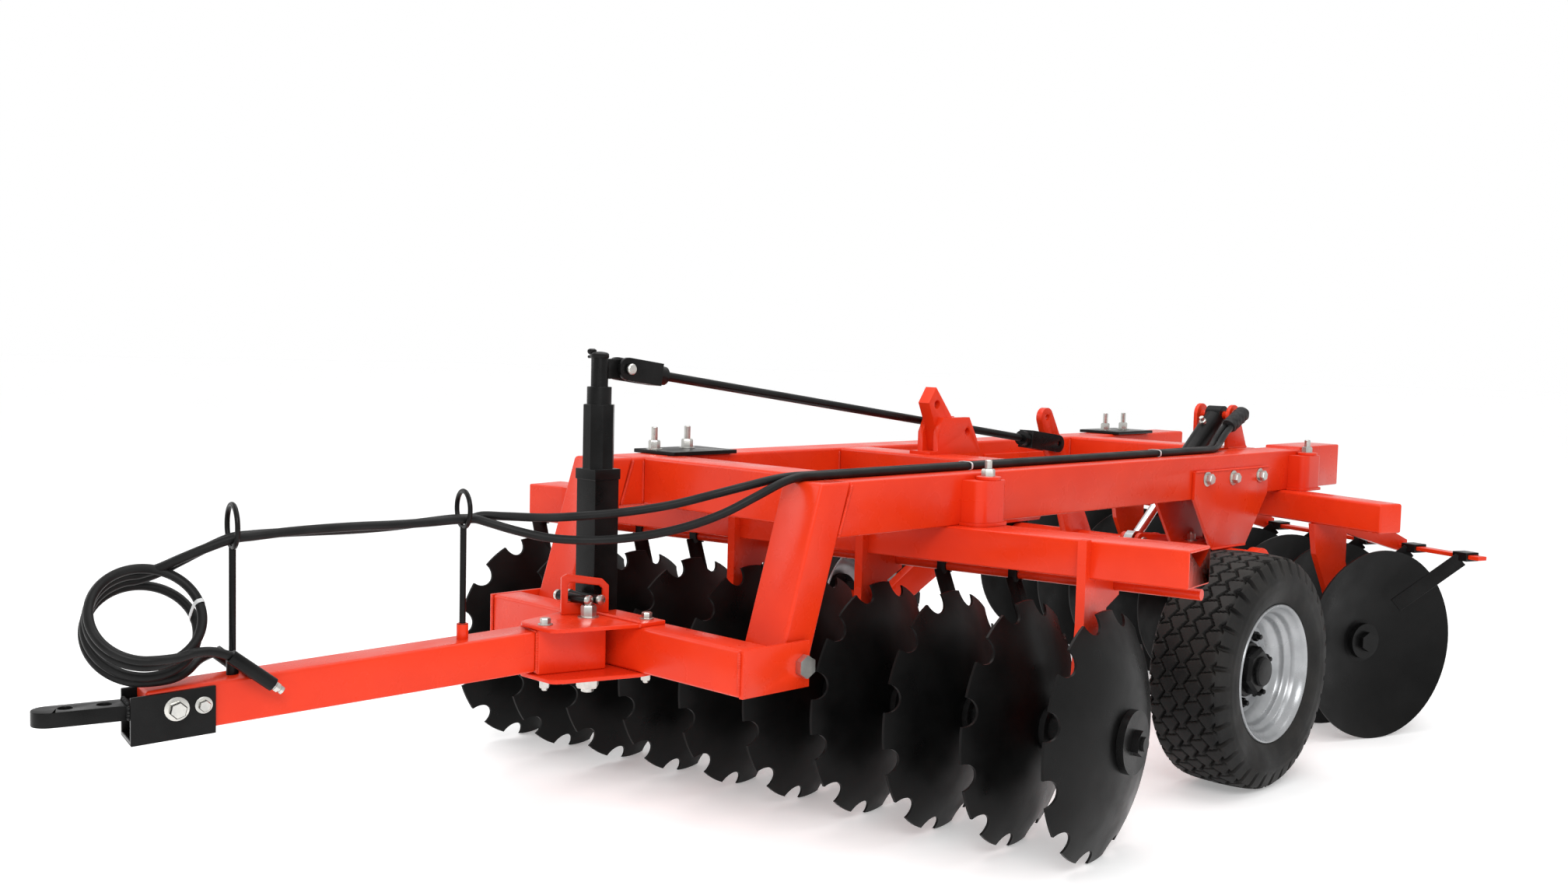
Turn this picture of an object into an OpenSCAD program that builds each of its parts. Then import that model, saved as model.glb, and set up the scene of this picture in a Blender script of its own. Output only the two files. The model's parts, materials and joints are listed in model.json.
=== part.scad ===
// Trailed offset disc harrow with a hydraulic rockshaft, in millimetres.
// +X is the machine's left side, +Y its rear and +Z up.
// The origin is the front pin hole of the hitch bar, at half the bar's thickness.

/* [Main frame] */
// Overall width over the two side beams
frame_w = 1014; // [940:1:1100]
// Width of a side beam
beam_w = 140; // [120:1:150]
// Height of a side beam
beam_h = 143; // [130:1:150]
// Height of the beams' top above the gangs' axles
beam_rise = 652; // [640:1:670]
// Rear end of the left beam, behind the bend of the legs
left_beam_end = 2870; // [2700:1:2950]
// Rear end of the right beam, behind the bend of the legs
right_beam_end = 3220; // [3150:1:3300]
// Lean of the front legs from upright, in degrees
leg_lean = 17.4; // [16:0.1:19]
// Depth of a front leg, from front to back
leg_depth = 110; // [100:1:120]
// Height of the legs' feet above the ground
leg_foot = 473; // [465:1:480]
// Depth of a cross member, from front to back
cross_depth = 140; // [120:1:150]
// Front face of the front cross member
front_cross_y = 150; // [130:1:180]
// Front face of the middle cross member
middle_cross_y = 1010; // [990:1:1030]
// Front face of the rear cross member
rear_cross_y = 2360; // [2350:1:2380]
// Thickness of the cap plate on the rear of the left beam
cap_plate_t = 10; // [6:1:16]
// Length of that cap plate
cap_plate_len = 310; // [250:1:350]

/* [Top bracket] */
// Thickness of an upright bracket plate
bracket_plate_t = 20; // [16:1:22]
// Gap between the two bracket plates
bracket_gap = 45; // [40:1:48]
// Outer face of the left bracket plate
bracket_x = 5; // [0:1:40]
// Height of the bracket's base plate
bracket_base_t = 10; // [6:1:14]
// Height of the bracket plates above the beams
bracket_rise = 118; // [100:1:130]

/* [Discs] */
// Number of discs on a gang
disc_count = 10; // [8:1:10]
// Diameter of a disc
disc_d = 660; // [640:1:670]
// Distance between two discs
disc_pitch = 228; // [226:0.5:230]
// Thickness of a disc
disc_t = 6; // [4:0.5:8]
// Radius of the sphere that a disc is pressed to
disc_sphere_r = 680; // [640:1:720]
// Radius of the flat in the middle of a disc
disc_flat_r = 75; // [70:1:85]
// Number of notches in a front disc
notch_count = 12; // [10:1:14]
// Radius of a notch
notch_r = 38; // [24:1:42]
// Side of the square gang shaft
shaft_side = 40; // [36:1:42]
// Play of the square shaft in a disc or spool, on both sides together
shaft_play = 1; // [0.6:0.1:1.4]
// Radius of a spool's end flange
spool_flange_r = 60; // [55:1:62]
// Thickness of a spool's end flange
spool_flange_t = 16; // [12:1:20]
// Radius of a spool's middle, which runs in the bearing
journal_r = 35; // [32:1:38]
// Outer radius of a bearing housing
housing_r = 62; // [58:1:68]
// Length of a bearing housing
housing_len = 70; // [64:1:76]
// Radial clearance of the running bearings
run_fit = 0.08; // [0.03:0.01:0.1]

/* [Gang beams] */
// Height of a gang beam
gang_beam_h = 100; // [90:1:105]
// Depth of the front gang beam
front_gang_depth = 150; // [130:1:160]
// Depth of the rear gang beam
rear_gang_depth = 100; // [90:1:110]
// Angle of the front gang, in degrees
front_gang_angle = 9.4; // [8:0.1:11]
// Angle of the rear gang, in degrees
rear_gang_angle = -20; // [-21:0.1:-18]
// Sideways place of the front gang's outer disc
front_gang_x = 966; // [950:1:980]
// Lengthwise place of the front gang's outer disc
front_gang_y = 588; // [575:1:600]
// Sideways place of the rear gang's outer disc
rear_gang_x = 885; // [870:1:900]
// Rear gang's outer end, behind the front face of the rear cross member
rear_gang_behind = 90; // [80:1:120]
// Overhang of a gang beam past its outer disc
beam_overhang = 115; // [100:1:130]
// Length of the open sleeve on the front gang beam
sleeve_len = 110; // [90:1:120]
// Wall of that sleeve
sleeve_wall = 10; // [6:1:14]
// Thickness of a hanger plate
hanger_t = 25; // [20:1:28]
// Depth of the post blocks that carry the gang beams
post_block_depth = 70; // [60:1:80]
// Length of a post block
post_block_len = 125; // [110:1:135]
// Length of a clamp plate on the right beam
clamp_len = 260; // [240:1:280]
// Thickness of a clamp plate
clamp_t = 12; // [8:1:16]

/* [Scrapers] */
// Radius of the front scraper bar
scraper_bar_r = 15; // [12:1:16]
// Front scraper bar's distance behind the gang axle
front_bar_back = 164; // [160:1:168]
// Front scraper bar's distance below the gang beam
front_bar_drop = 34; // [31:1:39]
// Rear scraper bar's distance behind the gang axle
rear_bar_back = 262; // [250:1:266]
// Rear scraper bar's distance below the gang beam
rear_bar_drop = 92; // [89:1:96]
// Width of a scraper arm
scraper_w = 50; // [40:1:56]
// Thickness of a scraper arm
scraper_t = 6; // [4:1:8]

/* [Drawbar] */
// Height of the drawbar's hinge above the ground
hinge_z = 530; // [525:1:540]
// The hinge's distance in front of the legs' bend
hinge_front = 73; // [68:1:80]
// Front face of the yoke, in front of the legs' bend
yoke_front = 280; // [275:1:290]
// Depth of the yoke's cross beam
yoke_depth = 100; // [90:1:106]
// Height of the yoke's cross beam
yoke_h = 118; // [112:1:124]
// Height of the yoke's lower face above the ground
yoke_z = 475; // [470:1:480]
// Thickness of a yoke side plate
yoke_plate_t = 12; // [10:1:16]
// Gap between the legs and the yoke side plates
yoke_gap = 6; // [5:0.5:8]
// Radius of the drawbar's hinge pins
hinge_pin_r = 16; // [12:1:20]
// Swing of the tongue to the right, in degrees
tongue_swing = 12.7; // [10:0.1:14]
// Sideways place of the tongue's swing bolt
swing_bolt_x = -16; // [-20:1:-10]
// The swing bolt's distance in front of the yoke
swing_bolt_front = 45; // [43:1:50]
// Thickness of a fan plate
fan_t = 11; // [8:1:14]
// Width of the tongue
tongue_w = 100; // [90:1:110]
// Height of the tongue
tongue_h = 105; // [100:1:110]
// Length of the tongue, from the swing bolt to its front end
tongue_len = 1105; // [1050:1:1130]
// Fall of the tongue's middle, from the sleeve to its front end
tongue_drop = 60; // [50:1:66]
// Length of the tongue's sleeve in front of the swing bolt
sleeve_front = 167; // [160:1:175]
// Width of that sleeve
sleeve_w = 114; // [112:1:120]

/* [Hitch] */
// Length of the hitch channel
hitch_box_len = 182; // [170:1:200]
// Height of the hitch channel
hitch_box_h = 109; // [106:1:112]
// Wall of the hitch channel
hitch_wall = 11; // [8:1:14]
// Reach of the channel past the tongue's front end
hitch_box_over = 32; // [25:1:40]
// Width of the hitch bar
bar_w = 75; // [68:1:80]
// Thickness of the hitch bar
bar_t = 34; // [30:1:38]
// Length of the hitch bar
bar_len = 226; // [215:1:235]
// Height of the hitch bar's middle
bar_z = 481; // [478:1:484]
// Radius of a hitch pin hole
hitch_hole_r = 16; // [13:0.5:18]
// Front hitch hole's distance from the bar's rounded end
hitch_hole_edge = 70; // [60:1:75]
// Distance between the two hitch holes
hitch_hole_pitch = 80; // [74:1:84]

/* [Level linkage] */
// Sideways place of the levelling post, rod and lever
level_x = -100; // [-104:1:-98]
// The post's distance in front of the legs' bend
post_front = 234; // [232:1:236]
// Width of the post's lower tube
post_w = 80; // [76:1:84]
// Top of the post's lower tube
post_tube_top = 957; // [940:1:965]
// Top of the post's band
post_band_top = 985; // [975:1:992]
// Top of the post's octagonal part
post_octagon_top = 1157; // [1140:1:1170]
// Top of the post's collar
post_collar_top = 1204; // [1190:1:1212]
// Height of the rod's front pin
rod_front_z = 1252; // [1246:1:1256]
// The front pin's distance in front of the legs' bend
rod_front_ahead = 156; // [150:1:160]
// The rod's rear pin's distance in front of the rockshaft
rod_rear_ahead = 191; // [184:1:200]
// Height of the rod's rear pin
rod_rear_z = 988; // [980:1:994]
// Radius of the levelling rod
level_rod_r = 13; // [10:1:14]
// Gap between a clevis's two cheeks
clevis_gap = 38; // [36:1:42]
// Thickness of a clevis cheek
clevis_cheek_t = 11; // [8:1:14]
// Height of a clevis
clevis_h = 62; // [54:1:68]
// Thickness of the level lever and of the post's eye
lever_t = 24; // [20:1:26]

/* [Rockshaft and wheels] */
// The rockshaft's distance in front of the rear cross member
rockshaft_ahead = 310; // [300:1:320]
// Height of the rockshaft
rockshaft_z = 610; // [606:1:614]
// Radius of the rockshaft tube
rockshaft_r = 50; // [46:1:52]
// Gap between a side beam and a wheel arm
arm_gap = 93; // [80:1:100]
// Wall of the rockshaft tube
rockshaft_wall = 10; // [6:1:14]
// Thickness of a wheel arm
arm_t = 40; // [32:1:44]
// The wheels' distance in front of the rockshaft
wheel_ahead = 494; // [480:1:510]
// Outer radius of a tyre
tyre_r = 361; // [350:1:370]
// Width of a tyre
tyre_w = 264; // [250:1:270]
// Distance from a wheel arm's inner face to the tyre's middle
wheel_out = 243; // [238:1:250]
// Radius of the wheel's bead seat
rim_r = 200; // [190:1:204]
// Half the width of a rim
rim_half = 115; // [110:1:118]
// Height of a rim's edge
rim_edge = 10; // [8:1:13]
// Radius of a wheel spindle
spindle_r = 30; // [26:1:34]
// Outer radius of a wheel hub
hub_r = 62; // [56:1:70]
// Half the length of an axle bracket's upper edge
bracket_half = 250; // [240:1:260]
// Reach of an axle bracket's foot in front of the rockshaft
bracket_foot_front = 125; // [115:1:135]
// Reach of that foot behind the rockshaft
bracket_foot_rear = 106; // [95:1:115]
// Distance from the rockshaft's middle up to the foot
bracket_foot_rise = 55; // [52:1:60]
// Thickness of an axle bracket's plates
bracket_t = 12; // [8:1:16]
// Half the length of a rockshaft bearing
bearing_half = 62; // [56:1:70]
// The level lever's top hole's distance in front of the rockshaft
lever_ahead = 245; // [235:1:255]
// Height of that hole above the rockshaft
lever_rise = 473; // [460:1:480]

/* [Hydraulic cylinder] */
// Distance from the cylinder's middle to the left beam
cylinder_inset = 117; // [112:1:125]
// The upper pin's distance behind the rear cross member's front face
cylinder_pin_back = 40; // [35:1:50]
// Height of the upper pin above the beams
cylinder_pin_rise = 118; // [112:1:126]
// The lower pin's distance in front of the rockshaft
rod_pin_ahead = 190; // [185:1:196]
// Height of the rod's lower pin
rod_pin_z = 670; // [664:1:674]
// Radius of the barrel
barrel_r = 38; // [34:1:39]
// Radius of the piston rod
piston_rod_r = 18; // [15:1:20]
// Radius of the upper pin
upper_pin_r = 15; // [12:1:17]
// Radius of the lower pin
lower_pin_r = 12; // [10:1:13]
// Length of the barrel from its pin to its gland
barrel_len = 430; // [420:1:450]

/* [Hoses and stands] */
// Diameter of a hydraulic hose
hose_d = 22; // [20:1:24]
// Distance from the left beam's inner face to the outer hose's middle
hose_inset = 64; // [60:1:75]
// Distance between the two hoses on the beam
hose_pitch = 23; // [22.5:0.5:26]
// Height of the front hose ring's middle
front_ring_z = 884; // [870:1:900]
// Height of the rear hose ring's middle
rear_ring_z = 902; // [890:1:915]
// Radius of the front ring
front_ring_r = 50; // [46:1:54]
// Radius of the rear ring
rear_ring_r = 45; // [44:1:52]
// Front stand's distance in front of the swing bolt
front_stand_at = 905; // [890:1:915]
// Rear stand's distance in front of the swing bolt
rear_stand_at = 347; // [330:1:360]
// Radius of a stand's rod
stand_rod_r = 8; // [6:1:9]
// Radius of the ring's bar
ring_bar_r = 6; // [5:0.5:7]

/* [Hidden] */
$fn = 64;
seam = 0.3;
touch = 0.02;
beam_top = disc_d / 2 + beam_rise;
inner_x = frame_w / 2 - beam_w;
outer_x = frame_w / 2;
beam_z = beam_top - beam_h;
lean = tan(leg_lean);
axle_z = disc_d / 2;
gang_beam_z = beam_z - gang_beam_h;
front_bar_z = gang_beam_z - front_bar_drop;
rear_bar_z = gang_beam_z - rear_bar_drop;
rockshaft_y = rear_cross_y - rockshaft_ahead;
rear_gang_y = rear_cross_y + rear_gang_behind;
rockshaft_half = outer_x + arm_gap;
wheel_x = rockshaft_half + wheel_out;
wheel_y = rockshaft_y - wheel_ahead;
rod_rear_y = rockshaft_y - rod_rear_ahead;
cylinder_x = inner_x - cylinder_inset;
cylinder_pin_y = rear_cross_y + cylinder_pin_back;
cylinder_pin_z = beam_top + cylinder_pin_rise;
rod_pin_y = rockshaft_y - rod_pin_ahead;
disc_r = disc_d / 2;
rim_depth = sqrt(pow(disc_sphere_r, 2) - pow(disc_r, 2));
flat_x = sqrt(pow(disc_sphere_r + disc_t / 2, 2) - pow(disc_flat_r, 2)) - rim_depth;
spool_len = disc_pitch - disc_t - 2 * touch;
square_hole = shaft_side + shaft_play;
gang_span = (disc_count - 1) * disc_pitch;
washer_r = 84;
washer_t = 20;
nut_af = 60;
nut_t = 18;
stub_r = 19;
stub_len = 9;
hanger_shift = 52.5;
front_face_back = -2;
rear_face_back = -165;
yoke_top = yoke_z + yoke_h;
yoke_half = outer_x + yoke_gap;
swing_y = -yoke_front - swing_bolt_front;
tongue_start_z = yoke_top - 6 - tongue_h / 2;
tongue_end_z = tongue_start_z - tongue_drop;
bar_tip = tongue_len + bar_len;
hitch_hole_at = bar_tip - hitch_hole_edge;
hitch = tongue_point(0, hitch_hole_at, bar_z);
rod_angle = atan2(rod_rear_z - rod_front_z, rod_rear_y + rod_front_ahead);
rod_len = norm([rod_rear_z - rod_front_z, rod_rear_y + rod_front_ahead]);
cylinder_drop = atan2(cylinder_pin_z - rod_pin_z, cylinder_pin_y - rod_pin_y);
cylinder_len = norm([cylinder_pin_z - rod_pin_z, cylinder_pin_y - rod_pin_y]);
arm_x = rockshaft_half;
hose_r = hose_d / 2;
hose_z = beam_top + hose_r + seam;
hose_left_x = inner_x + hose_inset;
hose_right_x = hose_left_x - hose_pitch;
front_hose_z = front_ring_z - 28;
rear_hose_z = rear_ring_z - 25;
coil_at = 1098;
coil_r = 120;
coil_z = 672;
coil_tilt = 38;
coil_spread = 52;

red = [0.83, 0.10, 0.02];
black = [0.03, 0.03, 0.03];
steel = [0.62, 0.63, 0.64];
rubber = [0.06, 0.06, 0.06];

function tongue_point(side, ahead, z) = [
    swing_bolt_x + side * cos(tongue_swing) - ahead * sin(tongue_swing),
    swing_y - side * sin(tongue_swing) - ahead * cos(tongue_swing),
    z
];

// Moves the whole machine so that the hitch hole is the origin
module placed() {
    translate(-hitch) children();
}

module on_tongue() {
    translate([swing_bolt_x, swing_y, 0]) rotate([0, 0, -tongue_swing]) children();
}

module on_front_gang() {
    translate([front_gang_x, front_gang_y, 0]) rotate([0, 0, front_gang_angle]) children();
}

module on_rear_gang() {
    translate([rear_gang_x, rear_gang_y, 0]) rotate([0, 0, rear_gang_angle]) children();
}

// A plate standing across X, from its outline in Y and Z
module side_plate(x, t, outline) {
    translate([x, 0, 0]) rotate([90, 0, 90]) linear_extrude(t) polygon(outline);
}

module rod_x(x, y, z, r, length) {
    translate([x, y, z]) rotate([0, 90, 0]) cylinder(r = r, h = length);
}

module box(low, high) {
    translate(low) cube(high - low);
}

// A round bar from one point to another
module rod(from, to, r) {
    d = to - from;
    translate(from) rotate([0, acos(d.z / norm(d)), atan2(d.y, d.x)]) cylinder(r = r, h = norm(d));
}

module hexagon(across, h) {
    cylinder(d = across / cos(30), h = h, $fn = 6);
}

// A flat bar from one point to another, its width kept as level as it can be
module flat_bar(from, to, w, t) {
    d = to - from;
    translate(from)
        rotate([0, acos(d.z / norm(d)), atan2(d.y, d.x)])
            translate([-t / 2, -w / 2, 0]) cube([t, w, norm(d)]);
}

// Main frame

function leg_y(z) = -(beam_top - z) * lean;

module leg(x) {
    side_plate(x, beam_w, [
        [0, beam_top], [leg_y(leg_foot), leg_foot],
        [leg_y(leg_foot) + leg_depth, leg_foot], [leg_depth, beam_top]
    ]);
}

module beam(x, end) {
    side_plate(x, beam_w, [
        [leg_depth, beam_top], [leg_y(beam_z) + leg_depth, beam_z],
        [end, beam_z], [end, beam_top]
    ]);
}

module main_beam_left() {
    color(red) placed() union() {
        beam(inner_x, left_beam_end);
        box([inner_x, left_beam_end - cap_plate_len, beam_top - touch],
            [outer_x, left_beam_end, beam_top + cap_plate_t]);
    }
}

module main_beam_right() {
    color(red) placed() beam(-outer_x, right_beam_end);
}

module front_leg_left() {
    color(red) placed() leg(inner_x);
}

module front_leg_right() {
    color(red) placed() leg(-outer_x);
}

module cross_member(y) {
    color(red) placed() box([-inner_x, y, beam_z], [inner_x, y + cross_depth, beam_top]);
}

// The pins of the drawbar's hinge, one on the outside of each leg
module drawbar_pins() {
    head_af = 52;
    head_t = 18;
    reach = yoke_gap + yoke_plate_t + seam;
    color(steel) placed() for (side = [-1, 1])
        translate([side * outer_x, -hinge_front, hinge_z]) rotate([0, side * 90, 0]) union() {
            cylinder(r = hinge_pin_r, h = reach);
            translate([0, 0, reach]) hexagon(head_af, head_t);
        }
}

module top_bracket() {
    y0 = middle_cross_y + 64;
    z0 = beam_top + bracket_base_t;
    z1 = beam_top + bracket_rise;
    length = 220;
    hole_r = 13;
    left = bracket_x - 2 * bracket_plate_t - bracket_gap;
    outline = [
        [y0, z0 - touch], [y0, z0 + 60], [y0 + 24, z1], [y0 + length - 60, z1],
        [y0 + length - 20, z0 + 40], [y0 + length, z0 - touch]
    ];
    color(red) placed() union() {
        box([left, middle_cross_y + 24, beam_top], [bracket_x, y0 + length, z0]);
        difference() {
            union() {
                side_plate(left, bracket_plate_t, outline);
                side_plate(bracket_x - bracket_plate_t, bracket_plate_t, outline);
            }
            rod_x(left - 1, y0 + 150, z0 + 60, hole_r, 2 * bracket_plate_t + bracket_gap + 2);
        }
    }
}

// The thick link that stands between the plates of the top bracket
module top_link() {
    y0 = middle_cross_y + 64;
    z0 = beam_top + bracket_base_t;
    hole_r = 14;
    color(red) placed() difference() {
        side_plate(bracket_x - bracket_plate_t - bracket_gap, bracket_gap, [
            [y0 + 26, z0], [y0 + 9, z0 + 76], [y0 - 28, z0 + 156], [y0 + 8, z0 + 207],
            [y0 + 94, z0 + 108], [y0 + 150, z0]
        ]);
        rod_x(bracket_x - bracket_plate_t - bracket_gap - 1, y0 + 15, z0 + 150,
            hole_r, bracket_gap + 2);
    }
}

// The two lugs that carry the upper pin of the cylinder
module cylinder_arch() {
    lug_t = 15;
    lug_r = 40;
    apart = 115;
    inner = apart / 2;
    color(red) placed() union() {
        for (x = [cylinder_x - inner - lug_t, cylinder_x + inner]) {
            side_plate(x, lug_t, [
                [rear_cross_y, beam_top], [rear_cross_y, cylinder_pin_z],
                [cylinder_pin_y + lug_r, cylinder_pin_z],
                [rear_cross_y + cross_depth, beam_top]
            ]);
            rod_x(x, cylinder_pin_y, cylinder_pin_z, lug_r, lug_t);
        }
        rod_x(cylinder_x - inner - lug_t, cylinder_pin_y, cylinder_pin_z, upper_pin_r,
            apart + 2 * lug_t);
    }
}

bracket_bottom_z = rockshaft_z + bracket_foot_rise;

// A plate on each face of a side beam, and a floor that joins the two below it
module axle_brackets() {
    front = rockshaft_y - bracket_foot_front;
    rear = rockshaft_y + bracket_foot_rear;
    outline = [
        [rockshaft_y - bracket_half, beam_top - 50], [rockshaft_y - bracket_half, beam_z],
        [front, bracket_bottom_z], [rear, bracket_bottom_z],
        [rockshaft_y + bracket_half, beam_z], [rockshaft_y + bracket_half, beam_top - 50]
    ];
    color(red) placed() for (side = [0, 1]) mirror([side, 0, 0]) union() {
        side_plate(outer_x, bracket_t, outline);
        side_plate(inner_x - bracket_t, bracket_t, outline);
        box([inner_x - 1, front, bracket_bottom_z],
            [outer_x + 1, rear, bracket_bottom_z + bracket_t]);
    }
}

module rockshaft_bearings() {
    margin = 12;
    color(black) placed() for (side = [0, 1]) mirror([side, 0, 0]) difference() {
        box([inner_x + margin, rockshaft_y - bearing_half, rockshaft_z - bearing_half],
            [outer_x - margin, rockshaft_y + bearing_half, bracket_bottom_z]);
        rod_x(inner_x, rockshaft_y, rockshaft_z, rockshaft_r + run_fit, beam_w);
    }
}

// Gang beams and what hangs on them

module front_gang_beam() {
    y0 = front_face_back;
    y1 = front_face_back + front_gang_depth;
    x1 = beam_overhang;
    color(red) placed() on_front_gang() difference() {
        box([-gang_span - 12, y0, gang_beam_z], [x1 + sleeve_len, y1, beam_z]);
        box([x1, y0 + sleeve_wall, gang_beam_z + sleeve_wall],
            [x1 + sleeve_len + 1, y1 - sleeve_wall, beam_z - sleeve_wall]);
    }
}

module rear_gang_beam() {
    y0 = rear_face_back;
    color(red) placed() on_rear_gang()
        box([-gang_span - 130, y0, gang_beam_z], [beam_overhang + 20, y0 + rear_gang_depth, beam_z]);
}

// The blocks on the left beam's outer face, each bolted down to a gang beam
module gang_posts() {
    shoe_t = 6;
    top = beam_top - 17;
    half = post_block_depth / 2;
    color(red) placed() for (y = [front_gang_y - 23, rear_gang_y + 20]) union() {
        box([outer_x, y, beam_z + shoe_t], [outer_x + 2 * half, y + post_block_len, top]);
        translate([outer_x + half, y + post_block_len / 2, beam_z])
            cylinder(r = half, h = shoe_t + 1);
    }
}

// The black plates that clamp the gang beams to the right beam
module gang_clamps() {
    over = 25;
    front_y = front_gang_y - 338;
    rear_y = rear_gang_y + 220;
    color(black) placed() for (y = [front_y, rear_y])
        box([-outer_x - over, y, beam_top], [-inner_x + over, y + clamp_len, beam_top + clamp_t]);
}

front_hanger_outline = [
    [-30, beam_z + 3], [front_face_back, beam_z + 3], [front_face_back, gang_beam_z],
    [front_bar_back + 26, gang_beam_z], [front_bar_back + 26, gang_beam_z - 63],
    [110, gang_beam_z - 89], [60, axle_z + 150], [50, axle_z + 70], [50, axle_z],
    [-50, axle_z], [-52, axle_z + 90], [-30, gang_beam_z - 119]
];

rear_hanger_outline = [
    [rear_face_back - 3, gang_beam_z], [-150, gang_beam_z - 109], [-50, axle_z + 70],
    [-50, axle_z], [50, axle_z], [50, axle_z + 70], [-10, axle_z + 270],
    [-10, gang_beam_z - 39], [rear_bar_back + 23, rear_bar_z - 28],
    [rear_bar_back + 23, rear_bar_z + 21], [rear_face_back + rear_gang_depth, beam_z - 14],
    [rear_face_back + rear_gang_depth, gang_beam_z]
];

// Spools whose bearings are carried by a hanger
hanger_spools = [0, 3, 5, 8];

function front_spool_x(i) = -i * disc_pitch + flat_x - disc_t / 2 - disc_pitch / 2;
function rear_spool_x(i) = -i * disc_pitch - flat_x + disc_t / 2 - disc_pitch / 2;

module hanger(plate_x, spool_x, outline) {
    difference() {
        union() {
            side_plate(plate_x - hanger_t / 2, hanger_t, outline);
            rod_x(spool_x - housing_len / 2, 0, axle_z, housing_r, housing_len);
        }
        rod_x(spool_x - housing_len, 0, axle_z, journal_r + run_fit, 2 * housing_len);
        children();
    }
}

module front_hangers() {
    color(red) placed() on_front_gang() for (i = hanger_spools)
        hanger(-i * disc_pitch - hanger_shift, front_spool_x(i), front_hanger_outline)
            rod_x(-i * disc_pitch - hanger_shift - hanger_t, front_bar_back, front_bar_z,
                scraper_bar_r + seam / 2, 2 * hanger_t);
}

module rear_hangers() {
    color(red) placed() on_rear_gang() for (i = hanger_spools)
        hanger(-(i + 1) * disc_pitch + hanger_shift, rear_spool_x(i), rear_hanger_outline)
            rear_bar(-gang_span - 200, gang_span + 400, seam / 2);
}

module rear_bar(x, length, grow) {
    half_w = 20;
    half_t = 7;
    box([x, rear_bar_back - half_w - grow, rear_bar_z - half_t - grow],
        [x + length, rear_bar_back + half_w + grow, rear_bar_z + half_t + grow]);
}

module front_scraper_bar() {
    color(red) placed() on_front_gang()
        rod_x(-gang_span - 140, front_bar_back, front_bar_z, scraper_bar_r, gang_span + 340);
}

module rear_scraper_bar() {
    color(red) placed() on_rear_gang() rear_bar(-gang_span - 60, gang_span + 250, 0);
}

// A clamp on the bar with a flat arm that reaches into each dish
module front_scrapers() {
    clamp = [26, 44, 44];
    back = -110;
    color(black) placed() on_front_gang() for (i = [0 : disc_count - 1])
        translate([-i * disc_pitch, 0, 0]) difference() {
            union() {
                translate([back - clamp.x / 2, front_bar_back - clamp.y / 2,
                    front_bar_z - clamp.z / 2]) cube(clamp);
                flat_bar([back, front_bar_back - 16, front_bar_z - 10],
                    [20, 85, axle_z + 120], scraper_w, scraper_t);
            }
            rod_x(back - 60, front_bar_back, front_bar_z, scraper_bar_r + seam / 2, 120);
        }
}

module rear_scrapers() {
    clamp = [60, 60, 30];
    side = 118;
    color(black) placed() on_rear_gang() for (i = [0 : disc_count - 1])
        translate([-i * disc_pitch, 0, 0]) difference() {
            union() {
                translate([side - clamp.x / 2, rear_bar_back - clamp.y / 2,
                    rear_bar_z - clamp.z / 2]) cube(clamp);
                flat_bar([side, rear_bar_back - 22, rear_bar_z - 10],
                    [-20, 90, axle_z + 130], scraper_t, scraper_w);
            }
            rear_bar(side - 100, 200, seam / 2);
        }
}

// Gangs: a square shaft, dished discs and the spools between them

module across_gang() {
    rotate([0, 90, 0]) children();
}

module gang_nut() {
    union() {
        cylinder(r = washer_r, h = washer_t);
        translate([0, 0, washer_t]) hexagon(nut_af, nut_t);
        translate([0, 0, washer_t + nut_t]) cylinder(r = stub_r, h = stub_len);
    }
}

module inner_nut() {
    r = 62;
    t = 18;
    union() {
        cylinder(r = r, h = t);
        translate([0, 0, t]) hexagon(nut_af, nut_t);
    }
}

// A dished disc with its rim's plane at 0 and its crown towards +X
module disc(notched) {
    lip = 20;
    across_gang() difference() {
        intersection() {
            translate([0, 0, -rim_depth]) sphere(r = disc_sphere_r + disc_t / 2, $fn = 180);
            translate([0, 0, -lip]) cylinder(r = disc_r, h = lip + flat_x, $fn = 120);
        }
        intersection() {
            translate([0, 0, -rim_depth]) sphere(r = disc_sphere_r - disc_t / 2, $fn = 180);
            translate([0, 0, -2 * lip]) cylinder(r = disc_r + lip, h = 2 * lip + flat_x - disc_t);
        }
        translate([-square_hole / 2, -square_hole / 2, 0]) cube([square_hole, square_hole, 200]);
        if (notched) for (k = [0 : notch_count - 1])
            rotate([0, 0, (k + 0.5) * 360 / notch_count])
                translate([disc_r, 0, -lip]) cylinder(r = notch_r, h = 3 * lip);
    }
}

module spool() {
    across_gang() difference() {
        union() {
            cylinder(r = journal_r, h = spool_len);
            cylinder(r = spool_flange_r, h = spool_flange_t);
            translate([0, 0, spool_len - spool_flange_t])
                cylinder(r = spool_flange_r, h = spool_flange_t);
        }
        translate([-square_hole / 2, -square_hole / 2, -1])
            cube([square_hole, square_hole, spool_len + 2]);
    }
}

module square_bar(x0, x1) {
    box([x0, -shaft_side / 2, -shaft_side / 2], [x1, shaft_side / 2, shaft_side / 2]);
}

module front_gang_shaft() {
    inner = -gang_span + flat_x - disc_t;
    color(black) placed() on_front_gang() translate([0, 0, axle_z]) union() {
        square_bar(inner, flat_x);
        translate([flat_x, 0, 0]) rotate([0, 90, 0]) gang_nut();
        translate([inner, 0, 0]) rotate([0, -90, 0]) inner_nut();
    }
}

module front_gang_spools() {
    color(black) placed() on_front_gang() for (i = [0 : disc_count - 2])
        translate([front_spool_x(i) - spool_len / 2, 0, axle_z]) spool();
}

module front_gang_discs() {
    color(black) placed() on_front_gang() for (i = [0 : disc_count - 1])
        translate([-i * disc_pitch, 0, axle_z]) disc(true);
}

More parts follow.
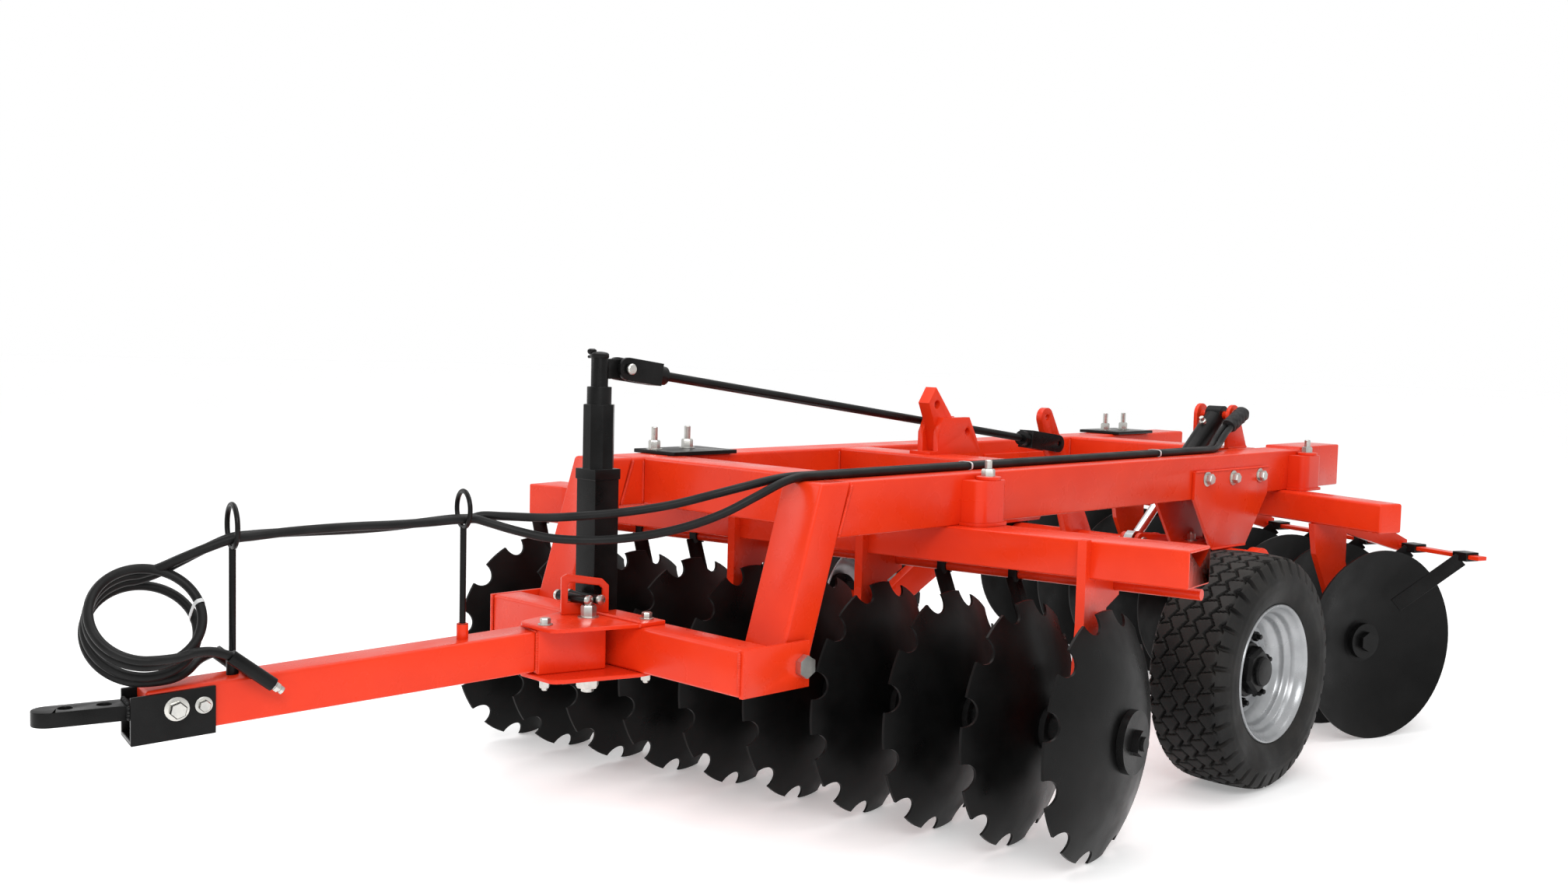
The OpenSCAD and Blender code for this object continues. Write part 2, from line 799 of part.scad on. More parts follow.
module rear_gang_shaft() {
    inner = -flat_x + disc_t;
    outer = -gang_span - flat_x;
    color(black) placed() on_rear_gang() translate([0, 0, axle_z]) union() {
        square_bar(outer, inner);
        translate([inner, 0, 0]) rotate([0, 90, 0]) inner_nut();
        translate([outer - touch, 0, 0]) rotate([0, -90, 0]) gang_nut();
    }
}

module rear_gang_spools() {
    color(black) placed() on_rear_gang() for (i = [0 : disc_count - 2])
        translate([rear_spool_x(i) - spool_len / 2, 0, axle_z]) spool();
}

module rear_gang_discs() {
    color(black) placed() on_rear_gang() for (i = [0 : disc_count - 1])
        translate([-i * disc_pitch, 0, axle_z]) rotate([0, 0, 180]) disc(false);
}

// Drawbar

module yoke_beam() {
    color(red) placed() box([-yoke_half, -yoke_front, yoke_z],
        [yoke_half, yoke_depth - yoke_front, yoke_top]);
}

module yoke_sides() {
    rear = 24;
    color(red) placed() for (side = [0, 1]) mirror([side, 0, 0]) difference() {
        box([yoke_half, -yoke_front, yoke_z],
            [yoke_half + yoke_plate_t, rear - hinge_front, yoke_top]);
        rod_x(yoke_half - 1, -hinge_front, hinge_z, hinge_pin_r + run_fit, yoke_plate_t + 2);
    }
}

// The fan-shaped plates above and below the tongue's sleeve
module fan_plates() {
    rear_half = 142;
    front_half = 80;
    rear_y = yoke_depth - yoke_front - 15;
    front_y = -yoke_front - 226;
    corner = 26;
    color(red) placed() for (z = [yoke_z - fan_t, yoke_top]) translate([0, 0, z])
        linear_extrude(fan_t) union() {
            polygon([
                [-rear_half, rear_y], [-rear_half, -yoke_front], [-front_half - 4, front_y + corner],
                [-front_half + corner, front_y], [front_half - corner, front_y],
                [front_half + 4, front_y + corner], [rear_half, -yoke_front], [rear_half, rear_y]
            ]);
            for (side = [-1, 1])
                translate([side * (front_half - corner), front_y + corner]) circle(r = corner);
        }
}

module tongue_sleeve() {
    rear = 25;
    color(red) placed() on_tongue()
        box([-sleeve_w / 2, -sleeve_front, yoke_z], [sleeve_w / 2, rear, yoke_top]);
}

module tongue() {
    half = tongue_h / 2;
    color(red) placed() on_tongue() side_plate(-tongue_w / 2, tongue_w, [
        [-sleeve_front, tongue_start_z - half], [-sleeve_front, tongue_start_z + half],
        [-tongue_len, tongue_end_z + half], [-tongue_len, tongue_end_z - half]
    ]);
}

function tongue_top(ahead) = tongue_start_z + tongue_h / 2
    - tongue_drop * (ahead - sleeve_front) / (tongue_len - sleeve_front);

// The black channel round the sides and bottom of the tongue's end
module hitch_channel() {
    rear = tongue_len + hitch_box_over - hitch_box_len;
    front = tongue_len + hitch_box_over;
    half_w = tongue_w / 2 + hitch_wall;
    fall = tongue_drop / (tongue_len - sleeve_front);
    low = tongue_top(rear) - tongue_h - hitch_wall;
    low_front = low - fall * hitch_box_len;
    high = low + hitch_box_h;
    high_front = low_front + hitch_box_h;
    floor_rear = low + hitch_wall;
    floor_front = low_front + hitch_wall;
    color(black) placed() on_tongue() union() {
        for (x = [-half_w, tongue_w / 2]) side_plate(x, hitch_wall, [
            [-rear, low], [-rear, high], [-front, high_front], [-front, low_front]
        ]);
        side_plate(-half_w, 2 * half_w, [
            [-rear, low], [-rear, floor_rear], [-front, floor_front], [-front, low_front]
        ]);
    }
}

module hitch_bar() {
    half = bar_w / 2;
    color(black) placed() on_tongue() difference() {
        translate([0, 0, bar_z - bar_t / 2]) union() {
            translate([-half, half - bar_tip, 0]) cube([bar_w, bar_len - half, bar_t]);
            translate([0, half - bar_tip, 0]) cylinder(r = half, h = bar_t);
        }
        for (at = [hitch_hole_at, hitch_hole_at - hitch_hole_pitch])
            translate([0, -at, bar_z - bar_t]) cylinder(r = hitch_hole_r, h = 2 * bar_t);
    }
}

// The upright rods with rings that guide the hoses
module hose_stand(ahead, ring_z, ring_r) {
    base_r = 14;
    base_h = 40;
    z0 = tongue_top(ahead + base_r);
    translate([0, -ahead, 0]) union() {
        difference() {
            translate([0, 0, z0]) cylinder(r = base_r, h = base_h);
            side_plate(-tongue_w, 2 * tongue_w, [
                [-base_r - 5, tongue_top(ahead + base_r + 5)],
                [base_r + 5, tongue_top(ahead - base_r - 5)],
                [base_r + 5, tongue_top(ahead) - 60], [-base_r - 5, tongue_top(ahead) - 60]
            ]);
        }
        translate([0, 0, z0 + 8]) cylinder(r = stand_rod_r, h = ring_z - ring_r - z0 - 8);
        translate([0, 0, ring_z]) rotate([90, 0, 0]) rotate_extrude()
            translate([ring_r, 0]) circle(r = ring_bar_r, $fn = 24);
    }
}

module hose_stands() {
    color(black) placed() on_tongue() {
        hose_stand(front_stand_at, front_ring_z, front_ring_r);
        hose_stand(rear_stand_at, rear_ring_z, rear_ring_r);
    }
}

module on_tool_line() {
    translate([-87, -362, 0]) rotate([0, 0, 68.4]) children();
}

// A plate with a window beside the post, which holds spare pins
module tool_bracket() {
    t = 12;
    z0 = yoke_top + fan_t;
    color(red) placed() on_tool_line() rotate([90, 0, 0])
        translate([0, z0, -t / 2]) linear_extrude(t) difference() {
            polygon([[0, 0], [130, 0], [130, 74], [112, 92], [14, 108], [0, 100]]);
            polygon([[18, 32], [112, 32], [112, 66], [102, 74], [24, 86], [18, 80]]);
        }
}

module stored_pins() {
    r = 12;
    z = yoke_top + fan_t + 32 + r;
    color(black) placed() on_tool_line() for (at = [34, 66])
        translate([at, 0, z]) rotate([90, 0, 25]) translate([0, 0, -60]) cylinder(r = r, h = 120);
}

// The post that carries the front end of the levelling rod
module level_post() {
    y = -post_front;
    eye_r = 27;
    z0 = yoke_top + fan_t;
    color(black) placed() translate([level_x, 0, 0]) difference() {
        union() {
            box([-post_w / 2, y - post_w / 2, z0], [post_w / 2, y + post_w / 2, post_tube_top]);
            box([-post_w / 2 - 3, y - post_w / 2 - 3, post_tube_top],
                [post_w / 2 + 3, y + post_w / 2 + 3, post_band_top]);
            translate([0, y, post_band_top]) rotate([0, 0, 22.5])
                cylinder(d = post_w / cos(22.5), h = post_octagon_top - post_band_top, $fn = 8);
            translate([0, y, post_octagon_top])
                cylinder(r = 33, h = post_collar_top - post_octagon_top);
            translate([0, y, post_collar_top])
                cylinder(r = 23, h = rod_front_z + 35 - post_collar_top);
            box([-lever_t / 2, y, rod_front_z - eye_r],
                [lever_t / 2, -rod_front_ahead, rod_front_z + eye_r]);
            rod_x(-lever_t / 2, -rod_front_ahead, rod_front_z, eye_r, lever_t);
        }
        rod_x(-post_w, -rod_front_ahead, rod_front_z, clevis_pin_r + run_fit, 2 * post_w);
    }
}

// Two sleeves that hold the hose ends beside the tongue, on a strap across it
module coupler_holder() {
    sleeve_r = 16;
    strap_t = 12;
    strap_at = front_stand_at - 45;
    strap_len = 26;
    strap_z = tongue_top(strap_at);
    color(black) placed() on_tongue() union() {
        rod(on_route(left_tail_route)[3], on_route([left_sleeve_end])[0], sleeve_r);
        rod(on_route(right_tail_route)[3], on_route([right_sleeve_end])[0], sleeve_r);
        box([right_sleeve_end.x, -strap_at - strap_len, strap_z],
            [left_sleeve_end.x, -strap_at, strap_z + strap_t]);
    }
}

// Levelling rod, with a clevis at each end

clevis_pin_r = 10;
front_throat = 70;
rear_throat = 116;
clevis_root = 50;
clevis_collar = 30;

module clevis(throat, with_pin) {
    wide = clevis_gap + 2 * clevis_cheek_t;
    root_end = throat + clevis_root;
    for (x = [-wide / 2, clevis_gap / 2]) {
        side_plate(x, clevis_cheek_t, [
            [0, -clevis_h / 2], [throat, -clevis_h / 2],
            [throat, clevis_h / 2], [0, clevis_h / 2]
        ]);
        rod_x(x, 0, 0, clevis_h / 2, clevis_cheek_t);
    }
    box([-wide / 2, throat, -clevis_h / 2], [wide / 2, root_end, clevis_h / 2]);
    translate([0, root_end, 0]) rotate([-90, 0, 0]) cylinder(r = 26, h = clevis_collar);
    if (with_pin) rod_x(-wide / 2 - 8, 0, 0, clevis_pin_r, wide + 16);
}

module level_rod() {
    color(black) placed() translate([level_x, -rod_front_ahead, rod_front_z])
        rotate([rod_angle, 0, 0]) union() {
            clevis(front_throat, true);
            translate([0, rod_len, 0]) rotate([0, 0, 180]) difference() {
                clevis(rear_throat, false);
                rod_x(-clevis_gap - clevis_cheek_t, 0, 0, clevis_pin_r,
                    2 * (clevis_gap + clevis_cheek_t));
            }
            translate([0, front_throat + clevis_root, 0]) rotate([-90, 0, 0])
                cylinder(r = level_rod_r, h = rod_len - front_throat - rear_throat - 2 * clevis_root);
        }
}

// Rockshaft with its levers, arms and wheels

module rockshaft_tube() {
    color(red) placed() difference() {
        rod_x(-rockshaft_half, rockshaft_y, rockshaft_z, rockshaft_r, 2 * rockshaft_half);
        rod_x(-rockshaft_half - 1, rockshaft_y, rockshaft_z, rockshaft_r - rockshaft_wall,
            2 * rockshaft_half + 2);
    }
}

// A tapered plate from one round end to another, in Y and Z
module taper(x, t, a, ra, b, rb) {
    d = b - a;
    n = [-d.y, d.x] / norm(d);
    side_plate(x, t, [a + n * ra, b + n * rb, b - n * rb, a - n * ra]);
    rod_x(x, a.x, a.y, ra, t);
    rod_x(x, b.x, b.y, rb, t);
}

module wheel_arms() {
    shaft = [rockshaft_y, rockshaft_z];
    wheel = [wheel_y, tyre_r];
    spindle = wheel_x + 52 - arm_x;
    color(red) placed() for (side = [0, 1]) mirror([side, 0, 0]) union() {
        taper(arm_x, arm_t, shaft, 62, wheel, 48);
        rod_x(arm_x, wheel_y, tyre_r, spindle_r, spindle);
    }
}

module level_lever() {
    shaft = [rockshaft_y, rockshaft_z];
    top = [rockshaft_y - lever_ahead, rockshaft_z + lever_rise];
    x = level_x - lever_t / 2;
    color(red) placed() difference() {
        taper(x, lever_t, shaft, 74, top, 35);
        rod_x(x - 1, rockshaft_y, rockshaft_z, rockshaft_r + seam / 3, lever_t + 2);
        rod_x(x - 1, top.x, top.y, 12, lever_t + 2);
        rod_x(x - 1, rod_rear_y, rod_rear_z, clevis_pin_r, lever_t + 2);
    }
}

module cylinder_lever() {
    shaft = [rockshaft_y, rockshaft_z];
    pin = [rod_pin_y, rod_pin_z];
    t = 16;
    apart = 42;
    color(red) placed() difference() {
        union() {
            taper(cylinder_x - apart / 2 - t, t, shaft, 72, pin, 30);
            taper(cylinder_x + apart / 2, t, shaft, 72, pin, 30);
            rod_x(cylinder_x - apart / 2 - t - 6, rod_pin_y, rod_pin_z, lower_pin_r, apart + 2 * t + 12);
        }
        rod_x(cylinder_x - 60, rockshaft_y, rockshaft_z, rockshaft_r + seam / 3, 120);
    }
}

module on_left_wheel() {
    translate([wheel_x, wheel_y, tyre_r]) children();
}

module on_right_wheel() {
    mirror([1, 0, 0]) on_left_wheel() children();
}

module rim() {
    edge_t = 8;
    wall = 12;
    nave = 22;
    nave_t = 12;
    rotate([0, 90, 0]) rotate_extrude() union() {
        translate([rim_r - wall, -rim_half]) square([wall, 2 * rim_half]);
        for (y = [-rim_half, rim_half - edge_t])
            translate([rim_r - wall, y]) square([wall + rim_edge, edge_t]);
        translate([hub_r, nave]) square([rim_r - wall - hub_r + 1, nave_t]);
    }
}

module hub() {
    rotate([0, 90, 0]) difference() {
        union() {
            translate([0, 0, -55]) cylinder(r = hub_r, h = 115);
            translate([0, 0, 60]) cylinder(r = 44, h = 26);
        }
        translate([0, 0, -56]) cylinder(r = spindle_r + run_fit, h = 116);
    }
}

module tyre() {
    bulge = tyre_w / 2;
    mid_r = rim_r + 80;
    tread_half = bulge - 19;
    rotate([0, 90, 0]) rotate_extrude($fn = 96) difference() {
        union() {
            intersection() {
                translate([mid_r, 0]) circle(r = bulge);
                translate([rim_r + seam, -bulge]) square([tyre_r - rim_r - 20, 2 * bulge]);
            }
            translate([mid_r - 20, -tread_half]) square([tyre_r - mid_r + 20, 2 * tread_half]);
        }
        for (side = [0, 1]) mirror([0, side])
            translate([0, rim_half - 8 - seam]) square([rim_r + rim_edge + seam, bulge]);
    }
}

module rim_left() {
    color(steel) placed() on_left_wheel() rim();
}

module rim_right() {
    color(steel) placed() on_right_wheel() rim();
}

module hub_left() {
    color(black) placed() on_left_wheel() hub();
}

module hub_right() {
    color(black) placed() on_right_wheel() hub();
}

module tyre_left() {
    color(rubber) placed() on_left_wheel() tyre();
}

module tyre_right() {
    color(rubber) placed() on_right_wheel() tyre();
}

// Hydraulic cylinder, drawn along +Y from its upper pin

module on_cylinder() {
    translate([cylinder_x, cylinder_pin_y, cylinder_pin_z])
        rotate([180 + cylinder_drop, 0, 0]) children();
}

module cylinder_barrel() {
    eye_w = 60;
    eye_r = 34;
    gland_r = barrel_r + 3;
    bore_from = 120;
    color(black) placed() on_cylinder() difference() {
        union() {
            rod_x(-eye_w / 2, 0, 0, eye_r, eye_w);
            rotate([-90, 0, 0]) translate([0, 0, 24]) cylinder(r = barrel_r, h = barrel_len - 24);
            rotate([-90, 0, 0]) translate([0, 0, barrel_len - 40]) cylinder(r = gland_r, h = 40);
        }
        rod_x(-eye_w, 0, 0, upper_pin_r + run_fit, 2 * eye_w);
        rotate([-90, 0, 0]) translate([0, 0, bore_from])
            cylinder(r = piston_rod_r + run_fit, h = barrel_len);
    }
}

module cylinder_rod() {
    eye_w = 32;
    eye_r = 36;
    eye_hole_r = 24;
    rod_from = 210;
    color(steel) placed() on_cylinder() difference() {
        union() {
            rotate([-90, 0, 0]) translate([0, 0, rod_from])
                cylinder(r = piston_rod_r, h = cylinder_len - rod_from - eye_hole_r);
            rod_x(-eye_w / 2, cylinder_len, 0, eye_r, eye_w);
        }
        rod_x(-eye_w, cylinder_len, 0, eye_hole_r, 2 * eye_w);
    }
}

// Hoses

bundle_from = [cylinder_x + 103, cylinder_pin_y + 6, cylinder_pin_z + 12];
bundle_to = [cylinder_x + 103, cylinder_pin_y - 96, cylinder_pin_z - 36];

// The wrapped bundle in which the hoses reach the cylinder
module hose_bundle() {
    color(black) placed() rod(bundle_from, bundle_to, 29);
}

// A ring of points round a centre, square to a direction
function ring(c, d, r, n) = let (
    u = d / norm(d),
    side = cross(abs(u.z) > 0.9 ? [1, 0, 0] : [0, 0, 1], u),
    a = side / norm(side),
    b = cross(u, a)
) [for (k = [0 : n - 1]) c + r * (a * cos(k * 360 / n) + b * sin(k * 360 / n))];

function heading(p, i) = p[min(i + 1, len(p) - 1)] - p[max(i - 1, 0)];

// A round tube along a list of points
module hose(p) {
    sides = 10;
    last = len(p) - 1;
    points = [for (i = [0 : last]) each ring(p[i], heading(p, i), hose_r, sides)];
    walls = [for (i = [0 : last - 1], k = [0 : sides - 1]) [
        i * sides + k, i * sides + (k + 1) % sides,
        (i + 1) * sides + (k + 1) % sides, (i + 1) * sides + k
    ]];
    polyhedron(points, concat(walls, [
        [for (k = [sides - 1 : -1 : 0]) k],
        [for (k = [0 : sides - 1]) last * sides + k]
    ]));
}

left_frame_route = [
    bundle_to + [11, 1, 0],
    [hose_left_x - 59, bundle_to.y - 54, hose_z + 46.7],
    [hose_left_x - 43, bundle_to.y - 114, hose_z + 20.7],
    [hose_left_x - 23, bundle_to.y - 174, hose_z + 4.7],
    [hose_left_x - 7, bundle_to.y - 234, hose_z],
    [hose_left_x, bundle_to.y - 304, hose_z],
    for (y = [1600, 1200, 800, 400, 60]) [hose_left_x, y, hose_z]
];
right_frame_route = [
    bundle_to + [-13, 1, 0],
    [hose_right_x - 62, bundle_to.y - 54, hose_z + 44.7],
    [hose_right_x - 46, bundle_to.y - 114, hose_z + 18.7],
    [hose_right_x - 24, bundle_to.y - 174, hose_z + 3.7],
    [hose_right_x - 7, bundle_to.y - 234, hose_z],
    [hose_right_x, bundle_to.y - 304, hose_z],
    for (y = [1600, 1200, 800, 400, 60]) [hose_right_x, y, hose_z]
];
left_span_route = [
    [hose_left_x, 60, hose_z], [hose_left_x, -5, hose_z], [hose_left_x - 7, -58, hose_z - 12],
    [398, -122, 948], [350, -195, 903], [284, -270, 866], [205, -345, 841], [124, -420, 829],
    [46, -500, 832], [-18, -565, 850], [-58, -613, 868],
    tongue_point(12, 320, rear_hose_z), tongue_point(12, rear_stand_at, rear_hose_z)
];
right_span_route = [
    [hose_right_x, 60, hose_z], [hose_right_x, -5, hose_z], [hose_right_x - 9, -60, hose_z - 5],
    [365, -127, 971], [313, -195, 948], [250, -270, 922], [180, -345, 903], [107, -420, 890],
    [33, -500, 882], [-45, -568, 882], [-90, -612, 882],
    tongue_point(-12, 320, rear_hose_z), tongue_point(-12, rear_stand_at, rear_hose_z)
];
// Beside the tongue's middle, ahead of the swing bolt and above the ground
left_tongue_route = [
    [12, rear_stand_at + touch, rear_hose_z], [12, 374, rear_hose_z], [13, 440, 874], [14, 530, 872],
    [14, 620, 872], [14, 710, 870], [13, 790, 866], [12, 860, 860],
    [12, front_stand_at, front_hose_z], [6, 960, 838], [-14, 1015, 813],
    [-42, 1062, 788]
];
right_tongue_route = [
    [-12, rear_stand_at + touch, rear_hose_z], [-12, 374, rear_hose_z], [-12, 440, 872], [-11, 530, 865],
    [-10, 620, 862], [-10, 710, 862], [-11, 790, 862], [-12, 860, 860],
    [-12, front_stand_at, front_hose_z], [-22, 960, 832], [-44, 1015, 800],
    [-68, 1062, 772]
];
left_tail_route = [[108, 1046, 610], [104, 1010, 617], [96, 972, 615], [88, 930, 600]];
right_tail_route = [[27, 1046, 547], [10, 1012, 555], [-30, 972, 574], [-76, 925, 580]];
left_sleeve_end = [88, 835, 525];
right_sleeve_end = [-84, 845, 512];

function on_route(route) = [for (p = route) [p.x, -p.y, p.z]];

module hoses_frame() {
    color(rubber) placed() {
        hose(left_frame_route);
        hose(right_frame_route);
    }
}

module hose_span() {
    color(rubber) placed() {
        hose(left_span_route);
        hose(right_span_route);
    }
}

module hoses_drawbar() {
    routes = [left_tongue_route, right_tongue_route, left_tail_route, right_tail_route];
    color(rubber) placed() on_tongue() for (route = routes) hose(on_route(route));
}

// The outer shape of the loops that are laid over the hitch
module hose_coil() {
    color(rubber) placed() on_tongue() translate([0, -coil_at, coil_z])
        rotate([0, 90 - coil_tilt, 0]) rotate_extrude() translate([coil_r, 0]) union() {
            square([2 * hose_r + 4, 2 * coil_spread], center = true);
            for (end = [-coil_spread, coil_spread])
                translate([0, end]) circle(r = hose_r + 2, $fn = 32);
        }
}

main_beam_left();
main_beam_right();
front_leg_left();
front_leg_right();
cross_member(front_cross_y);  // cross_member_front
cross_member(middle_cross_y);  // cross_member_middle
cross_member(rear_cross_y);  // cross_member_rear
top_bracket();
top_link();
cylinder_arch();
axle_brackets();
rockshaft_bearings();
front_gang_beam();
rear_gang_beam();
gang_posts();
gang_clamps();
front_hangers();
rear_hangers();
front_scraper_bar();
rear_scraper_bar();
front_scrapers();
rear_scrapers();
drawbar_pins();
hose_bundle();
hoses_frame();
hose_span();
front_gang_shaft();
front_gang_spools();
front_gang_discs();
rear_gang_shaft();
rear_gang_spools();
rear_gang_discs();
yoke_beam();
yoke_sides();
fan_plates();
tongue_sleeve();
tongue();
hitch_channel();
hitch_bar();
hose_stands();
tool_bracket();
stored_pins();
level_post();
coupler_holder();
hoses_drawbar();
hose_coil();
level_rod();
rockshaft_tube();
wheel_arms();
level_lever();
cylinder_lever();
rim_left();
rim_right();
hub_left();
hub_right();
tyre_left();
tyre_right();
cylinder_barrel();
cylinder_rod();
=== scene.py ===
# %% [markdown]
# # A trailed offset disc harrow
# The construction comes packed as a frame, and this lesson gives it its looks: paint, rubber and
# bare steel, hoses at their real length, a tread, weld beads and every bolt that shows.

# %% Load the frame
import json
import math

import bmesh
import bpy
import numpy as np
from mathutils import Matrix, Vector


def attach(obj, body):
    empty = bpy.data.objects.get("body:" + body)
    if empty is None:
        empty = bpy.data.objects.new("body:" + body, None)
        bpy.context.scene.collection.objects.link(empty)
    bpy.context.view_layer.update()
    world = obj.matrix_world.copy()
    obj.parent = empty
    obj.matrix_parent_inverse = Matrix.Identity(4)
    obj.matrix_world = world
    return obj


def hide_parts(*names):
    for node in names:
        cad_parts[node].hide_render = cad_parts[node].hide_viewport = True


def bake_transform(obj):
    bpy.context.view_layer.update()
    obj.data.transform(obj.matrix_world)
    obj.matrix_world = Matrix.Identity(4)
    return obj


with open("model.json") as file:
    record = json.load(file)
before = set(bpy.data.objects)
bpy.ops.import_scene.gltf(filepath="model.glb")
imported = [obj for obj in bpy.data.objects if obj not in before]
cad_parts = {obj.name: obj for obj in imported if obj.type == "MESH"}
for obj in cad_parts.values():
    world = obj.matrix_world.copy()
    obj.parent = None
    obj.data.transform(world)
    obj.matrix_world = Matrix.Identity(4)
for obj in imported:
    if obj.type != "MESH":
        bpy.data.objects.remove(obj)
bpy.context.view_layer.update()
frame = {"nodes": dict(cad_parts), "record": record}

# %% [markdown]
# ## Places
# The sizes are in millimetres, counted from the ground and from the bend of the front legs.
# `at` turns such a place into the frame's metres, with the hitch hole as the origin.

# %% Sizes and places
SWING = math.radians(12.7)
SWING_BOLT = np.array([-16.0, -325.0, 0.0])
HITCH_AHEAD = 1261.0
HITCH_Z = 481.0
HOSE_R = 11.0
BEAM_TOP = 982.0
BEAM_BOTTOM = 839.0
INNER_X = 367.0
OUTER_X = 507.0
BRACKET_FACE = OUTER_X + 12
DISC_PITCH = 228.0
DISC_COUNT = 10
FRONT_GANG = (966.0, 588.0, 9.4)
WHEEL = (843.0, 1556.0, 361.0)
FAN_TOP = 604.0
FAN_FOOT = 464.0
POST_EYE = (-100.0, -156.0, 1252.0)
POST_TOP = (-100.0, -234.0, 1287.0)
CYLINDER_PIN = (250.0, 2400.0, 1100.0)
LEVER_EYE = (250.0, 1860.0, 670.0)
BUNDLE_TOP = (353.0, 2406.0, 1112.0)
BUNDLE_FOOT = (353.0, 2304.0, 1064.0)
PIN_ROW = (-87.0, -362.0, 648.0)
STAND_FOOT_AHEAD = 347.0
STAND_FOOT_REAR = 574.0
COIL_AHEAD = 1098.0
COIL_R = 120.0
COIL_Z = 672.0
COIL_TILT = math.radians(38)
COIL_STEP = 26.0
X, Y, Z = np.eye(3)


def by_tongue(side, ahead, z):
    """A place beside the tongue's middle, ahead of the swing bolt and above the ground."""
    c, s = math.cos(SWING), math.sin(SWING)
    return SWING_BOLT + np.array([side * c - ahead * s, -side * s - ahead * c, z])


HITCH = by_tongue(0, HITCH_AHEAD, HITCH_Z)


def at(x, y, z):
    """Machine millimetres as metres in the frame."""
    return (np.array([x, y, z], float) - HITCH) / 1000


def on_tongue(side, ahead, z):
    return (by_tongue(side, ahead, z) - HITCH) / 1000


def on_gang(gang, along, back, z):
    """A place counted from a gang's outer disc, along its axle and behind it."""
    x, y, angle = gang
    c, s = math.cos(math.radians(angle)), math.sin(math.radians(angle))
    return at(x + along * c - back * s, y + along * s + back * c, z)


def gang_axis(gang):
    return np.array([math.cos(math.radians(gang[2])), math.sin(math.radians(gang[2])), 0])


TONGUE_SIDE = np.array([math.cos(SWING), -math.sin(SWING), 0])
TONGUE_FRONT = np.array([-math.sin(SWING), -math.cos(SWING), 0])
COIL_AXIS = TONGUE_SIDE * math.cos(COIL_TILT) + Z * math.sin(COIL_TILT)
COIL_UP = Z * math.cos(COIL_TILT) - TONGUE_SIDE * math.sin(COIL_TILT)

# %% [markdown]
# ## Camera
# The camera stands low, ahead and to the left of the machine, as the photographer did.

# %% Camera
CAMERA_TURN = math.radians(44.6537)
CAMERA_PITCH = math.radians(4.0275)
CAMERA_ROLL = math.radians(-1.3967)
CAMERA_AIM = (-817.4, 1200.0, 944.4)
CAMERA_REACH = 5.7374


def make_camera():
    back = np.array([
        math.sin(CAMERA_TURN) * math.cos(CAMERA_PITCH),
        -math.cos(CAMERA_TURN) * math.cos(CAMERA_PITCH),
        math.sin(CAMERA_PITCH),
    ])
    level = np.array([math.cos(CAMERA_TURN), math.sin(CAMERA_TURN), 0])
    upright = np.cross(back, level)
    c, s = math.cos(CAMERA_ROLL), math.sin(CAMERA_ROLL)
    right = level * c - upright * s
    up = upright * c + level * s
    camera = bpy.data.objects.new("camera", bpy.data.cameras.new("camera"))
    place = at(*CAMERA_AIM) + back * CAMERA_REACH
    rows = np.eye(4)
    rows[:3, :3] = np.stack([right, up, back], 1)
    rows[:3, 3] = place
    camera.matrix_world = Matrix(rows.tolist())
    camera.data.sensor_width = 36
    camera.data.lens = 36.05
    camera.data.clip_start = 0.1
    camera.data.clip_end = 100
    bpy.context.scene.collection.objects.link(camera)
    bpy.context.scene.camera = camera
    return camera


make_camera()

# %% [markdown]
# ## Shared shader groups
# Three node groups hold what the materials share: a fine grain for bump and roughness, a slow
# drift of tone over a surface, and dust that settles on what faces up.

# %% Shader groups


def new_group(name, inputs, outputs):
    group = bpy.data.node_groups.new(name, "ShaderNodeTree")
    for label, kind, value in inputs:
        socket = group.interface.new_socket(label, in_out="INPUT", socket_type=kind)
        socket.default_value = value
    for label, kind in outputs:
        group.interface.new_socket(label, in_out="OUTPUT", socket_type=kind)
    into = group.nodes.new("NodeGroupInput")
    out = group.nodes.new("NodeGroupOutput")
    return group, into, out


def node(tree, kind, **values):
    made = tree.nodes.new(kind)
    for key, value in values.items():
        setattr(made, key, value)
    return made


def make_grain():
    """Grain of a given scale and height, with an uneven roughness between two limits."""
    group, into, out = new_group(
        "grain",
        [
            ("Scale", "NodeSocketFloat", 200.0),
            ("Height", "NodeSocketFloat", 0.1),
            ("Smooth", "NodeSocketFloat", 0.3),
            ("Rough", "NodeSocketFloat", 0.5),
        ],
        [("Normal", "NodeSocketVector"), ("Roughness", "NodeSocketFloat")],
    )
    link = group.links.new
    place = node(group, "ShaderNodeTexCoord")
    fine = node(group, "ShaderNodeTexNoise")
    fine.inputs["Detail"].default_value = 4
    slow = node(group, "ShaderNodeTexNoise")
    slow.inputs["Scale"].default_value = 9
    slow.inputs["Detail"].default_value = 5
    bump = node(group, "ShaderNodeBump")
    bump.inputs["Distance"].default_value = 0.002
    limits = node(group, "ShaderNodeMapRange")
    link(place.outputs["Object"], fine.inputs["Vector"])
    link(place.outputs["Object"], slow.inputs["Vector"])
    link(into.outputs["Scale"], fine.inputs["Scale"])
    link(fine.outputs["Fac"], bump.inputs["Height"])
    link(into.outputs["Height"], bump.inputs["Strength"])
    link(slow.outputs["Fac"], limits.inputs["Value"])
    limits.inputs["From Min"].default_value = 0.3
    limits.inputs["From Max"].default_value = 0.7
    link(into.outputs["Smooth"], limits.inputs["To Min"])
    link(into.outputs["Rough"], limits.inputs["To Max"])
    link(bump.outputs["Normal"], out.inputs["Normal"])
    link(limits.outputs["Result"], out.inputs["Roughness"])
    return group


